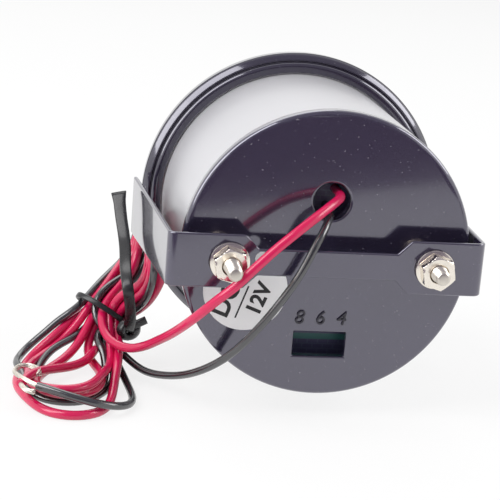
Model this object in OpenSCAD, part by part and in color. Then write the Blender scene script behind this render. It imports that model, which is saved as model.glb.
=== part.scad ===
// Round panel voltmeter for a vehicle dash, with its clamp bracket and its tied supply leads.
// The gauge's axis is Y: the dial faces -Y, the rear cover faces +Y, and Z is up.
// The origin is on the axis, in the plane of the face that seats on the panel.

/* [Bezel and lens] */
// Thickness of the bezel's rim around the lens
bezel_wall = 2; // [1.6:0.1:2.5]
// Thickness of the lip that is closed over the can's flange
lip_t = 0.8; // [0.6:0.1:1]
// Depth of the step outside the seating face
rim_step = 0.7; // [0.4:0.1:1]
// Radius of the rolled rear rim
rim_r = 1.1; // [0.8:0.1:1.3]
// Radius of the rounded front shoulder
shoulder_r = 3; // [2:0.1:3.5]
// How far the bezel's front stands out of the lens
crown_h = 1.7; // [1.2:0.1:2.5]
// Thickness of the lens
lens_t = 2; // [1.5:0.1:3]
// Thickness of the rubber ring behind the lens
gasket_t = 1.2; // [0.8:0.1:2]
// Width of the rubber ring behind the lens
gasket_w = 1.9; // [1.2:0.1:2]

/* [Can] */
// Outer diameter of the can
can_d = 52; // [51:0.5:53]
// Sheet thickness of the can
can_wall = 0.6; // [0.4:0.1:0.8]
// Length of the can behind the panel seat
can_l = 37; // [36:0.5:48]
// How far the can's flange stands out under the bezel's lip
flange_w = 1.85; // [1.6:0.05:2.4]

/* [Dial and pointer] */
// Depth of the dial behind the panel seat
dial_depth = 3.4; // [3:0.1:5]
// Thickness of the dial
dial_t = 0.6; // [0.4:0.1:1]
// Width of the dial's border that the dial ring covers
dial_border = 2.65; // [2:0.05:3.2]
// Width of the dial ring's front edge, inside which the window is open
ring_edge = 0.75; // [0.5:0.05:1.2]
// Length of the pointer from the axis to its tip
pointer_l = 19.4; // [14:0.2:20]
// Thickness of the pointer
pointer_t = 0.8; // [0.5:0.1:1]
// Gap between the pointer and the dial
pointer_gap = 0.8; // [0.7:0.1:1.2]
// Diameter of the pointer's cap
cap_d = 8.4; // [7:0.2:11]
// Height of the pointer's cap
cap_h = 2.4; // [1.8:0.1:2.8]
// Direction of the pointer at its low stop, seen from the front
rest_angle = 210; // [190:5:230]
// Angle between the pointer's two stops
sweep = 240; // [90:5:260]

/* [Movement] */
// Diameter of the spindle
spindle_d = 1.2; // [1:0.1:1.4]
// Diameter of the rotor magnet
magnet_d = 12; // [9:0.5:12.5]
// Thickness of the rotor magnet
magnet_t = 4; // [3:0.2:5]
// Thinnest wall of the square bobbin core beside the rotor
core_wall = 1; // [0.8:0.1:1.6]
// End wall of the bobbin core, which holds the bearing
core_end = 2; // [1.5:0.1:2.5]
// Build-up of each winding
coil_t = 1.6; // [1:0.1:1.8]
// Gap between the windings and the board
coil_lift = 1.2; // [0.8:0.1:2]
// Sheet thickness of the steel shield
shield_t = 0.6; // [0.4:0.1:0.8]

/* [Board and light] */
// Thickness of the circuit board
board_t = 1.6; // [1:0.1:2]
// Wall of the white light chamber
chamber_wall = 1.2; // [0.8:0.1:1.6]
// Diameter of each lamp
lamp_d = 3; // [2:0.2:4]
// Height of each lamp above the board
lamp_h = 5; // [3:0.2:7]

/* [Rear cover] */
// Thickness of the rear cover
cover_t = 2; // [1.5:0.1:3]
// Radius of the rear cover's rounded edge
cover_edge_r = 0.9; // [0.4:0.1:1.2]
// Length of the spigot that centres the cover in the can
spigot_l = 2.5; // [1.5:0.1:3.2]
// Length of the cover's bosses, which hold the board
boss_l = 4; // [3.4:0.1:6]
// Diameter of the cable hole
cable_hole_d = 6.4; // [6:0.1:8]
// Height of the cable hole above the axis
cable_hole_z = 9.9; // [9:0.1:11]
// Width of the setting slot
slot_w = 9.5; // [6:0.1:12]
// Height of the setting slot
slot_h = 4.6; // [3:0.1:6]
// Distance of the setting slot below the axis
slot_drop = 16.4; // [14:0.1:18]
// Diameter of the round sticker
sticker_d = 15; // [10:0.5:15]

/* [Studs and nuts] */
// Diameter of the studs
stud_d = 3; // [2.5:0.1:3.2]
// Distance between the two studs
stud_pitch = 36.2; // [34:0.2:37]
// Length of the studs outside the rear cover
stud_out = 14.2; // [13:0.1:18]
// Width across the flats of the nuts
nut_af = 5.5; // [5:0.1:6]
// Height of the bracket nuts
nut_h = 2.8; // [2:0.1:3.2]
// Height of the thin nuts on the rear cover
cover_nut_h = 1.8; // [1.2:0.1:2.4]
// Turn of the nuts on the studs, in degrees
nut_turn = -18; // [-30:1:30]
// Diameter of the washers
washer_d = 7; // [7:0.1:9]
// Thickness of the washers
washer_t = 0.6; // [0.4:0.1:0.8]

/* [Clamp bracket] */
// Sheet thickness of the bracket
bracket_t = 0.8; // [0.6:0.1:1.2]
// Gap between the rear cover and the bracket
bracket_gap = 5; // [4:0.1:6]
// Height of the bracket's pads
pad_h = 9.6; // [9:0.1:11]
// Height of the bracket's legs at their ends
leg_end_h = 11.1; // [9:0.1:13]
// Height of the narrow neck between the pads
neck_h = 4.8; // [3.5:0.1:7]
// Length of each pad from its stud to the neck
pad_reach = 5.9; // [5:0.1:8]
// Room between the can and each leg
leg_clear = 1.25; // [1.2:0.05:2]
// How far the bracket sits to one side in its wide holes
bracket_shift = 0.9; // [0:0.1:0.9]
// Inner radius of the bracket's bends
bend_r = 0.9; // [0.5:0.1:1.5]
// Distance from the panel seat to the ends of the legs
leg_gap = 6.5; // [5:0.1:10]
// Splay of the leg on the +X side, where the tied leads are tucked in
leg_splay = 5.3; // [1:0.1:6]
// Diameter of the small earth hole in the bracket
earth_hole_d = 2.5; // [2:0.1:3]

/* [Hidden] */
$fn = 72;

// Named clearances
slide_clear = 0.15;   // pieces that drop into the can or the bezel
lip_clear = 0.3;      // bezel lip around the can
run_clear = 0.05;     // spindle in its bearings
hole_clear = 0.1;     // studs and pins in plain holes
stop_clear = 0.15;    // pointer beside its stop pins
rotor_clear = 0.6;    // magnet in its chamber, radially
rotor_end_clear = 1;  // magnet in its chamber, endways
shield_clear = 0.3;   // shield round the windings and posts

// Radii
can_r = can_d / 2;
can_ri = can_r - can_wall;
stack_r = can_r + flange_w;
pocket_r = stack_r + slide_clear;
bezel_r = pocket_r + bezel_wall;
lip_r = can_r + lip_clear;
step_r = pocket_r + lip_clear;
inner_r = can_ri - slide_clear;
window_r = inner_r - ring_edge;
view_r = inner_r - dial_border;
chamber_ri = inner_r - chamber_wall;
stud_x = stud_pitch / 2;
stud_r = stud_d / 2;
spindle_r = spindle_d / 2;
bearing_r = spindle_r + run_clear;

// Planes along the axis, from the lens to the rear cover
flange_y = -lip_t - can_wall;
gasket_y = flange_y - gasket_t;
lens_y = gasket_y - lens_t;
crown_y = lens_y - crown_h;
dial_y = dial_depth;
dial_back = dial_y + dial_t;
board_back = can_l - boss_l;
board_y = board_back - board_t;
cover_y = can_l + cover_t;
bracket_in = cover_y + bracket_gap;
bracket_out = bracket_in + bracket_t;
nut_y = bracket_out + washer_t;
stud_tip = cover_y + stud_out;

// Edges
edge_r = 0.3;
arc_steps = 8;

// Dial fixings
dial_screw_r = 0.8;
dial_screw_head_r = 1.3;
dial_screw_head_h = 0.6;
dial_screw_l = 4.6;
dial_boss_r = 2.2;
dial_boss_l = 6;
dial_screw_x = view_r - dial_screw_head_r - slide_clear;
dial_bore_r = 2;
ledge_l = 1.2;
stop_pin_r = 0.5;
stop_at = 8;

// Pointer
pointer_back = dial_y - pointer_gap;
pointer_y = pointer_back - pointer_t;
cap_y = pointer_y - cap_h;
hub_r = 3.4;
tip_w = 0.7;
root_w = 2.6;
tail_l = 6.5;
tail_w = 2.4;
cap_socket = cap_h / 2;
cap_round = 0.9;

// Movement
core_r = magnet_d / 2 + rotor_clear + core_wall;
core_w = 2 * core_r;
core_l = magnet_t + 2 * (rotor_end_clear + core_end);
core_back = board_y - 2 * coil_t - coil_lift;
core_y = core_back - core_l;
core_split = (core_y + core_back) / 2;
rotor_r = magnet_d / 2;
rotor_y = core_split - magnet_t / 2;
rotor_back = core_split + magnet_t / 2;
tower_r = 1.5;
post_w = 1.4;
post_at = core_r - hole_clear - hole_clear;
coil_in = tower_r + 2 * hole_clear;
coil_out = post_at - post_w / 2 - hole_clear;
coil_w = coil_out - coil_in;
tower_y = core_y - 2 * coil_t - coil_lift;
post_y = tower_y + 4 * hole_clear;
bearing_end = 0.5;
bearing_depth = core_back - bearing_end;
pin_r = 0.4;
pin_in = 3;
pin_out = 1;
pin_y = board_y - pin_in;
pin_end = board_back + pin_out;
shield_ri = max(norm([post_at + post_w / 2, post_at + post_w / 2]), norm([coil_out, core_r + coil_t]))
  + shield_clear;
shield_r = shield_ri + shield_t;
coil_round = 1.2;

// Board
board_r = inner_r - 2 * slide_clear;
ring_mid = (shield_r + chamber_ri) / 2;
lamp_at = ring_mid;
lamp_count = 4;
solder_r = 1;
solder_h = 0.8;
chip_size = [6, 1.6, 4];
chip_z = -ring_mid;
capacitor_r = 3.15;
capacitor_l = 7;
capacitor_z = ring_mid;
resistor_size = [2, 0.6, 1.2];
resistor_x = 7;
resistor_z = sqrt(ring_mid * ring_mid - resistor_x * resistor_x);
diode_size = [4.2, 2.2, 2.6];
diode_at = ring_mid * [cos(30), -sin(30)];

// Cover details
stud_head_r = 2.75;
stud_head_h = 2;
stud_hole_r = stud_r + hole_clear;
stud_chamfer = 0.4;
boss_r = 3;
spigot_w = 1.2;
hole_edge = 0.3;
sticker_t = 0.15;
sticker_at = [stud_x - 4, -6.6];
nut_r = nut_af / 2 / cos(30);
nut_chamfer = 0.35;
shoulder = (pad_h - neck_h) / 2;
neck_l = stud_pitch - 2 * pad_reach;
bracket_hole_r = stud_r + bracket_shift + hole_clear;
earth_hole_x = 11.55;
earth_hole_z = 0.7;

// Supply leads: wire size, routes and the tied hank
wire_d = 1.8;
wire_sides = 8;
red_route = [[-1.5, 33, 11], [-1.5, 37, 11], [-1.2, 40, 11], [0, 42.5, 10.8], [2.5, 45.5, 9.8],
  [6.5, 48.5, 7.5], [11.5, 50, 4], [14.5, 50.5, 0.5], [17.5, 50.5, -3], [20, 49.5, -5.5], [24, 46, -10.5],
  [26.5, 40, -14.5], [28.5, 33.5, -18.5], [30.6, 29, -21.2], [33, 26, -22.6], [35.8, 22.8, -22.6],
  [37.4, 18.5, -21.4]];
black_route = [[0, 33, 8], [0, 37, 8], [0.2, 40, 8], [1, 43.5, 7.5], [2.2, 46, 6], [3.6, 47.5, 4], [6.9, 48, -1.5],
  [10.5, 47, -8.5], [14.3, 45, -15], [17.2, 42, -19.5], [21, 38, -23], [24.5, 32.5, -25.5], [28.5, 27.5, -26.9],
  [31.3, 23.5, -26.8], [33.7, 19.6, -25.4], [35.7, 16.5, -22.8]];
floor_z = -30;
hank_h = 4;
hank_ends = [[36.5, 31, 4], [43, 40.5, 5], [48.8, 38.5, 5], [49.3, 22, 4.5]];
hank_eye = [[42.5, 27.5, 1.5], [45.5, 25, 1.2], [41.5, 30.5, 0.8]];
hank_arms = [[[36.5, 28, -27, 2.8], [35.6, 14, -20.9, 2.6]], [[49.5, 19, -27, 2.8], [38.6, 12.7, -19.4, 2.6]]];
hank_neck = [[35.3, 13.8, -21, 2.7], [38.8, 12.7, -19.2, 2.7], [30, 6.5, -10.5, 1.3], [28.2, 23.8, -10.5, 1.2]];
tuck_c = [15, -10];
tuck_r = 10.8;
tuck = [[27.4, 4], [31.2, 6], [29.6, 25.5], [27, 25.5]];
tuck_h = 20;
tie_at = [37, 13.5, -19.8];
tie_turn = [0, 41.4, 217];
tie_twist = 134;
tie_loop = [11.8, 7];
tie_wall = 0.6;
tie_w = 2.2;
tie_knot = [[32.2, 15.3, -22.4], [32.8, 19.2, -21.2]];
tie_knot_r = 1.8;
tie_front = [[31.6, -21.1], [33.9, -21.1], [33.5, -16.4], [34.15, -11.8], [34.6, -9.7], [34.8, -8.4], [35, -6.7],
  [35.2, -4.6], [35.75, -1.4], [36.5, 2.4], [33.9, 2.8], [33.45, -1.3], [32.9, -4.5], [32.7, -6.6], [32.5, -8.3],
  [32.3, -9.6], [31.9, -11.7], [31.3, -16.1]];
tie_side = [[20.1, -21.6], [22.4, -18.9], [24.3, -16.3], [25.3, -11.7], [23.1, -9.1], [19.6, -7.7], [16.5, -6.1],
  [13.5, -4.1], [10.5, -0.9], [7.5, 2.8], [6.4, 2.3], [9.4, -1.9], [12.4, -5.1], [15.5, -7.3], [18.4, -9],
  [21.9, -10.4], [24, -12.1], [22.6, -16], [20.6, -18.7], [18.7, -21.2]];
tie_stub = [[31.7, -19.6], [29.4, -18.5], [29.2, -20.1], [31.7, -21.5]];
tie_stub_t = 1;
bare_r = 0.5;
red_end = [[50.4, 42.2], [52.6, 38.3]];
black_end = [[53.3, 34.5], [49.7, 40]];

// Points on an arc round c, from angle a0 to a1
function arc(c, r, a0, a1, n = arc_steps) = [for (i = [0 : n]) c + r * [cos(a0 + (a1 - a0) * i / n),
  sin(a0 + (a1 - a0) * i / n)]];

// Outline of a rectangle with rounded corners, centred
function round_rect(w, h, r) = concat(arc([w / 2 - r, h / 2 - r], r, 0, 90, 4),
  arc([r - w / 2, h / 2 - r], r, 90, 180, 4), arc([r - w / 2, r - h / 2], r, 180, 270, 4),
  arc([w / 2 - r, r - h / 2], r, 270, 360, 4));

function unit(v) = v / norm(v);

// A smooth curve through hand-chosen points, with one more ring between each two
function smooth(p) = let(n = len(p)) concat([for (i = [0 : n - 2]) each [p[i],
  (9 * (p[i] + p[i + 1]) - p[max(i - 1, 0)] - p[min(i + 2, n - 1)]) / 16]], [p[n - 1]]);

function heading(p, i) = unit(p[min(i + 1, len(p) - 1)] - p[max(i - 1, 0)]);

// One side vector for each ring, carried along the curve so that the tube doesn't twist
function sides(p, i = 0, v = [0, 0, 1]) = i == len(p) ? [] :
  let(t = heading(p, i), s = unit(v - (v * t) * t)) concat([s], sides(p, i + 1, s));

// Turned shape: profile points are [radius, y]
module turned(profile) {
  rotate([-90, 0, 0]) rotate_extrude() polygon(profile);
}

// Flat shape: an outline in x and z, from y0 to y1
module plate(y0, y1) {
  translate([0, y1, 0]) rotate([90, 0, 0]) linear_extrude(y1 - y0) children();
}

// Round bar along the axis at x, z
module bar(x, z, y0, y1, r) {
  translate([x, y0, z]) rotate([-90, 0, 0]) cylinder(r = r, h = y1 - y0);
}

module at_studs() {
  for (s = [-1, 1]) translate([s * stud_x, 0, 0]) children();
}

// Hexagon nut with chamfered corners, from y0 to y0 + h
module hex_nut(y0, h) {
  rotate([0, nut_turn, 0]) difference() {
    intersection() {
      translate([0, y0, 0]) rotate([-90, 0, 0]) cylinder(r = nut_r, h = h, $fn = 6);
      turned([[0, y0], [nut_r, y0], [nut_r, y0 + h - nut_chamfer], [nut_r - 2 * nut_chamfer, y0 + h],
        [0, y0 + h]]);
    }
    bar(0, 0, y0 - 1, y0 + h + 1, stud_r);
  }
}

// Tube of the wire's size along a route
module wire_tube(route) {
  path = smooth(route);
  side = sides(path);
  n = len(path);
  k = wire_sides;
  points = [for (i = [0 : n - 1], j = [0 : k - 1]) let(t = heading(path, i), b = cross(t, side[i]))
    path[i] + wire_d / 2 * (side[i] * cos(360 * j / k) + b * sin(360 * j / k))];
  walls = [for (i = [0 : n - 2], j = [0 : k - 1]) let(a = i * k + j, b = i * k + (j + 1) % k)
    each [[a, a + k, b], [b, a + k, b + k]]];
  ends = [[for (j = [0 : k - 1]) j], [for (j = [k - 1 : -1 : 0]) (n - 1) * k + j]];
  polyhedron(points, concat(walls, ends), convexity = 6);
}

module bezel() {
  rim_c = [bezel_r - rim_r, -rim_step - rim_r];
  shoulder_c = [bezel_r - shoulder_r, crown_y + shoulder_r];
  color("#15141a") turned(concat([[lip_r, -lip_t]], arc([lip_r + edge_r, -edge_r], edge_r, 180, 90, 4),
    [[step_r - edge_r, 0], [step_r, -edge_r], [step_r, -rim_step]], arc(rim_c, rim_r, 110, 0),
    arc(shoulder_c, shoulder_r, 0, -90), arc([window_r + edge_r, crown_y + edge_r], edge_r, -90, -180, 4),
    [[window_r, lens_y], [pocket_r, lens_y], [pocket_r, -lip_t]]));
}

module lens() {
  color("#dfeaf0", 0.4) turned([[0, lens_y], [stack_r - edge_r, lens_y], [stack_r, lens_y + edge_r],
    [stack_r, gasket_y], [0, gasket_y]]);
}

module lens_gasket() {
  color("#222222") turned([[stack_r - gasket_w, gasket_y], [stack_r, gasket_y], [stack_r, flange_y],
    [stack_r - gasket_w, flange_y]]);
}

module dial_ring() {
  color("#1b1b1d") turned([[window_r, gasket_y], [inner_r, gasket_y], [inner_r, dial_y], [view_r, dial_y],
    [view_r, dial_y - dial_t]]);
}

module dial_face() {
  color("#f2f0e8") difference() {
    plate(dial_y, dial_back) circle(r = inner_r);
    bar(0, 0, dial_y - 1, dial_back + 1, dial_bore_r);
    for (s = [-1, 1]) bar(s * dial_screw_x, 0, dial_y - 1, dial_back + 1, dial_screw_r + hole_clear);
    at_stops() bar(0, 0, dial_y - 1, dial_back + 1, stop_pin_r);
  }
}

module dial_screws() {
  color("#b8b4aa") for (s = [-1, 1]) translate([s * dial_screw_x, 0, 0]) union() {
    bar(0, 0, dial_y - dial_screw_head_h, dial_y, dial_screw_head_r);
    bar(0, 0, dial_y, dial_y + dial_screw_l, dial_screw_r);
  }
}

// Width of the pointer at a distance from the axis
function pointer_w(at) = root_w + (tip_w - root_w) * at / pointer_l;

// The two places beside the pointer's limits, at each of which a stop pin stands
module at_stops() {
  off = pointer_w(stop_at) / 2 + stop_clear + stop_pin_r;
  for (s = [[rest_angle, 1], [rest_angle - sweep, -1]])
    rotate([0, -s[0], 0]) translate([stop_at, 0, s[1] * off]) children();
}

module stop_pins() {
  color("#b8b4aa") at_stops() bar(0, 0, pointer_y, dial_back, stop_pin_r);
}

module pointer() {
  color("#e8481c") rotate([0, -rest_angle, 0]) difference() {
    plate(pointer_y, pointer_back) union() {
      polygon([[0, root_w / 2], [0, -root_w / 2], [pointer_l, -tip_w / 2], [pointer_l, tip_w / 2]]);
      translate([-tail_l, -tail_w / 2]) square([tail_l, tail_w]);
      circle(r = hub_r);
    }
    bar(0, 0, pointer_y - 1, pointer_back + 1, spindle_r);
  }
}

module pointer_cap() {
  r = cap_d / 2;
  color("#1a1a1c") difference() {
    turned(concat([[0, cap_y]], arc([r - cap_round, cap_y + cap_round], cap_round, -90, 0, 6),
      [[r, pointer_y], [0, pointer_y]]));
    bar(0, 0, pointer_y - cap_socket, pointer_y + 1, spindle_r);
  }
}

module spindle() {
  color("#c9c9cc") bar(0, 0, pointer_y - cap_socket, bearing_depth - run_clear, spindle_r);
}

module rotor_magnet() {
  color("#3a3a3e") difference() {
    bar(0, 0, rotor_y, rotor_back, rotor_r);
    bar(0, 0, rotor_y - 1, rotor_back + 1, spindle_r);
  }
}

// The four corners of the bobbin, where its guide posts and pins stand
module at_posts() {
  for (x = [-1, 1], z = [-1, 1]) translate([x * post_at, 0, z * post_at]) children();
}

// One half of the bobbin: square core with the rotor's chamber, and its four guide posts
module bobbin_half(y0, y1, post_y0, post_y1) {
  difference() {
    union() {
      plate(y0, y1) square(core_w, center = true);
      at_posts() plate(post_y0, post_y1) square(post_w, center = true);
    }
    bar(0, 0, rotor_y - rotor_end_clear, rotor_back + rotor_end_clear, rotor_r + rotor_clear);
  }
}

module bobbin_front() {
  color("#e9e4d4") difference() {
    union() {
      bobbin_half(core_y, core_split, post_y, core_split);
      plate(tower_y, core_y + edge_r) square(2 * tower_r, center = true);
    }
    bar(0, 0, tower_y - 1, core_split, bearing_r);
  }
}

module bobbin_rear() {
  color("#e9e4d4") difference() {
    bobbin_half(core_split, core_back, core_split, board_y);
    bar(0, 0, core_split, bearing_depth, bearing_r);
    at_posts() bar(0, 0, pin_y, board_y + 1, pin_r);
  }
}

// Both halves of one winding, round a former of width w from y0 to y1
module winding(w, y0, y1) {
  mid = (y0 + y1) / 2;
  for (s = [-1, 1]) translate([0, mid, s * (coil_in + coil_w / 2)]) linear_extrude(coil_w, center = true)
    difference() {
      polygon(round_rect(w + 2 * coil_t, y1 - y0 + 2 * coil_t, coil_round));
      square([w, y1 - y0], center = true);
    }
}

module coil_sine() {
  color("#b0592c") winding(core_w, core_y, core_back);
}

module coil_cosine() {
  color("#b0592c") rotate([0, 90, 0]) winding(core_w, core_y - coil_t, core_back + coil_t);
}

module shield_cup() {
  color("#a9abad") turned([[bearing_r + hole_clear, tower_y - shield_t], [shield_r, tower_y - shield_t],
    [shield_r, board_y], [shield_ri, board_y], [shield_ri, tower_y], [bearing_r + hole_clear, tower_y]]);
}

module movement_pins() {
  color("#c8a45a") at_posts() bar(0, 0, pin_y, pin_end, pin_r);
}

module solder_joints() {
  color("#c6c8ca") at_posts() turned([[pin_r, board_back], [solder_r, board_back],
    [pin_r + hole_clear, board_back + solder_h], [pin_r, board_back + solder_h]]);
}

module light_chamber() {
  color("#f4f4f2") difference() {
    union() {
      turned([[view_r, dial_back], [inner_r, dial_back], [inner_r, board_y], [chamber_ri, board_y],
        [chamber_ri, dial_back + 2 * ledge_l], [view_r, dial_back + ledge_l]]);
      intersection() {
        for (s = [-1, 1]) bar(s * dial_screw_x, 0, dial_back, dial_back + dial_boss_l, dial_boss_r);
        bar(0, 0, dial_back, board_y, inner_r);
      }
    }
    for (s = [-1, 1]) bar(s * dial_screw_x, 0, dial_back - 1, dial_y + dial_screw_l, dial_screw_r);
  }
}

module circuit_board() {
  color("#1f5a37") difference() {
    bar(0, 0, board_y, board_back, board_r);
    at_studs() bar(0, 0, board_y - 1, board_back + 1, stud_hole_r);
    at_posts() bar(0, 0, board_y - 1, board_back + 1, pin_r + hole_clear);
  }
}

module led_lamps() {
  r = lamp_d / 2;
  color("#f6f3dc") for (i = [0 : lamp_count - 1]) rotate([0, 45 + 360 * i / lamp_count, 0])
    translate([lamp_at, 0, 0]) turned(concat([[0, board_y], [r, board_y]],
      arc([0, board_y - lamp_h + r], r, 0, -90)));
}

// Block-shaped board part of a size, seated on the board at x, z
module on_board(size, x, z) {
  translate([x - size[0] / 2, board_y - size[1], z - size[2] / 2]) cube(size);
}

module driver_chip() {
  color("#26262a") on_board(chip_size, 0, chip_z);
}

module capacitor() {
  color("#c2c6cc") bar(0, capacitor_z, board_y - capacitor_l, board_y, capacitor_r);
}

module resistors() {
  color("#3a3026") for (x = [-1, 1], z = [-1, 1]) on_board(resistor_size, x * resistor_x, z * resistor_z);
}

module diode() {
  color("#2a2a2c") on_board(diode_size, diode_at[0], diode_at[1]);
}

module can() {
  color("#d5d4d9") turned([[can_ri, flange_y], [stack_r, flange_y], [stack_r, -lip_t], [can_r, -lip_t],
    [can_r, can_l], [can_ri, can_l]]);
}

module rear_cover() {
  e = cover_edge_r;
  color("#17161c") difference() {
    union() {
      turned(concat([[0, can_l], [inner_r - spigot_w, can_l], [inner_r - spigot_w, can_l - spigot_l],
        [inner_r, can_l - spigot_l], [inner_r, can_l], [can_r, can_l]],
        arc([can_r - e, cover_y - e], e, 0, 90), [[0, cover_y]]));
      at_studs() bar(0, 0, board_back, can_l + cover_t / 2, boss_r);
    }
    at_studs() bar(0, 0, board_back - 1, cover_y + 1, stud_hole_r);
    bar(0, cable_hole_z, can_l - 1, cover_y + 1, cable_hole_d / 2);
    translate([0, 0, cable_hole_z]) turned([[0, cover_y - hole_edge], [cable_hole_d / 2, cover_y - hole_edge],
      [cable_hole_d / 2 + 2 * hole_edge, cover_y + hole_edge], [0, cover_y + hole_edge]]);
    plate(can_l - 1, cover_y + 1) translate([0, -slot_drop]) square([slot_w, slot_h], center = true);
  }
}

module sticker() {
  color("#f2f2f4") plate(cover_y, cover_y + sticker_t) difference() {
    translate(sticker_at) circle(d = sticker_d);
    translate([stud_x, 0]) circle(r = nut_r + hole_clear);
  }
}

module studs() {
  color("#d8d2c4") at_studs() turned([[0, board_y - stud_head_h], [stud_head_r, board_y - stud_head_h],
    [stud_head_r, board_y], [stud_r, board_y], [stud_r, stud_tip - stud_chamfer],
    [stud_r - stud_chamfer, stud_tip], [0, stud_tip]]);
}

module cover_nuts() {
  color("#d8d2c4") at_studs() hex_nut(cover_y, cover_nut_h);
}

// One side of the bent strip, from the bridge to the leg's end and back, for the side at +x
function bracket_side(splay) = let(ro = bend_r + bracket_t, c = [can_r + leg_clear - bend_r, bracket_in - bend_r],
    out = [cos(splay), sin(splay)], along = [sin(splay), -cos(splay)],
    l = (c[1] + ro * out[1] - leg_gap) / cos(splay))
  concat(arc(c, ro, 90, splay), [c + ro * out + l * along, c + bend_r * out + l * along],
    arc(c, bend_r, splay, 90));

module bracket() {
  near = bracket_side(leg_splay);
  far = bracket_side(0);
  flare = [[leg_gap - 1, leg_end_h / 2], [leg_gap, leg_end_h / 2], [bracket_in - bend_r, pad_h / 2],
    [bracket_out + 1, pad_h / 2]];
  notch = [[-neck_l / 2 - shoulder, pad_h / 2 + 1], [-neck_l / 2 - shoulder, pad_h / 2], [-neck_l / 2, neck_h / 2],
    [neck_l / 2, neck_h / 2], [neck_l / 2 + shoulder, pad_h / 2], [neck_l / 2 + shoulder, pad_h / 2 + 1]];
  color("#19181f") difference() {
    translate([bracket_shift, 0, 0]) difference() {
      intersection() {
        linear_extrude(max(pad_h, leg_end_h) + 2, center = true)
          polygon(concat(near, [for (i = [len(far) - 1 : -1 : 0]) [-far[i][0], far[i][1]]]));
        rotate([90, 0, 90]) linear_extrude(4 * can_r, center = true) polygon(concat(flare,
          [for (i = [len(flare) - 1 : -1 : 0]) [flare[i][0], -flare[i][1]]]));
      }
      for (s = [0, 1]) plate(bracket_in - bend_r, bracket_out + 1) mirror([0, s]) polygon(notch);
      for (s = [-1, 1]) bar(s * stud_x, 0, bracket_in - 1, bracket_out + 1, bracket_hole_r);
      bar(earth_hole_x, earth_hole_z, bracket_in - 1, bracket_out + 1, earth_hole_d / 2);
    }
  }
}

module bracket_washers() {
  color("#d8d2c4") at_studs() turned([[stud_hole_r, bracket_out], [washer_d / 2, bracket_out],
    [washer_d / 2, nut_y], [stud_hole_r, nut_y]]);
}

module bracket_nuts() {
  color("#d8d2c4") at_studs() hex_nut(nut_y, nut_h);
}

module red_lead() {
  color("#d7194b") wire_tube(red_route);
}

module black_lead() {
  color("#2c2c30") wire_tube(black_route);
}

// Outline round a few circles given as x, y and radius
module round_outline(circles) {
  hull() for (c = circles) translate([c[0], c[1]]) circle(r = c[2], $fn = 32);
}

// Outer shape of the tied hank: the loops on the floor, the two arms that rise from them to the tied waist,
// the neck, and the folds tucked in behind the leg
module wire_hank() {
  color("#7c1b33") union() {
    translate([0, 0, floor_z]) linear_extrude(hank_h) difference() {
      round_outline(hank_ends);
      round_outline(hank_eye);
    }
    for (arm = concat(hank_arms, [hank_neck]))
      hull() for (s = arm) translate([s[0], s[1], s[2]]) sphere(r = s[3], $fn = 24);
    intersection() {
      translate([0, 0, tuck_c[1] - 1]) linear_extrude(tuck_h) polygon(tuck);
      translate([0, tuck_c[0], tuck_c[1]]) rotate([0, 90, 0]) cylinder(r = tuck_r, h = bezel_r + can_r, $fn = 32);
    }
  }
}

module twist_tie() {
  color("#33333a") union() {
    translate(tie_at) rotate(tie_turn) rotate([0, 0, tie_twist]) linear_extrude(tie_w, center = true) difference() {
      polygon(round_rect(tie_loop[0], tie_loop[1], tie_loop[1] / 2 - tie_wall));
      polygon(round_rect(tie_loop[0] - 2 * tie_wall, tie_loop[1] - 2 * tie_wall, tie_loop[1] / 2 - 2 * tie_wall));
    }
    hull() for (c = tie_knot) translate(c) sphere(r = tie_knot_r, $fn = 24);
    intersection() {
      plate(0, can_l) polygon(tie_front);
      rotate([90, 0, 90]) linear_extrude(bezel_r + can_r) polygon(tie_side);
    }
    plate(tie_knot[1][1] - tie_stub_t / 2, tie_knot[1][1] + tie_stub_t / 2) polygon(tie_stub);
  }
}

// Stripped and tinned wire end, lying across the hank
module bare_end(ends) {
  a = [ends[0][0], ends[0][1], floor_z + hank_h + bare_r];
  b = [ends[1][0], ends[1][1], floor_z + hank_h + bare_r];
  v = b - a;
  translate(a) rotate([0, 90, atan2(v[1], v[0])]) cylinder(r = bare_r, h = norm(v));
}

module red_wire_end() {
  color("#cfc8b8") bare_end(red_end);
}

module black_wire_end() {
  color("#cfc8b8") bare_end(black_end);
}

bezel();
lens();
lens_gasket();
dial_ring();
dial_face();
dial_screws();
stop_pins();
pointer();
pointer_cap();
spindle();
rotor_magnet();
bobbin_front();
bobbin_rear();
coil_sine();
coil_cosine();
shield_cup();
movement_pins();
solder_joints();
light_chamber();
circuit_board();
led_lamps();
driver_chip();
capacitor();
resistors();
diode();
can();
rear_cover();
sticker();
studs();
cover_nuts();
bracket();
bracket_washers();
bracket_nuts();
red_lead();
black_lead();
wire_hank();
twist_tie();
red_wire_end();
black_wire_end();
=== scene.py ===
"""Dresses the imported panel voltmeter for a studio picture: leads, tie, finishes, dial print and stage."""

import math

import bmesh
import bpy
import numpy as np
from bpy.props import FloatProperty, FloatVectorProperty, IntProperty, PointerProperty
from bpy.types import Operator, Panel, PropertyGroup
from mathutils import Matrix, Vector


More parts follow.
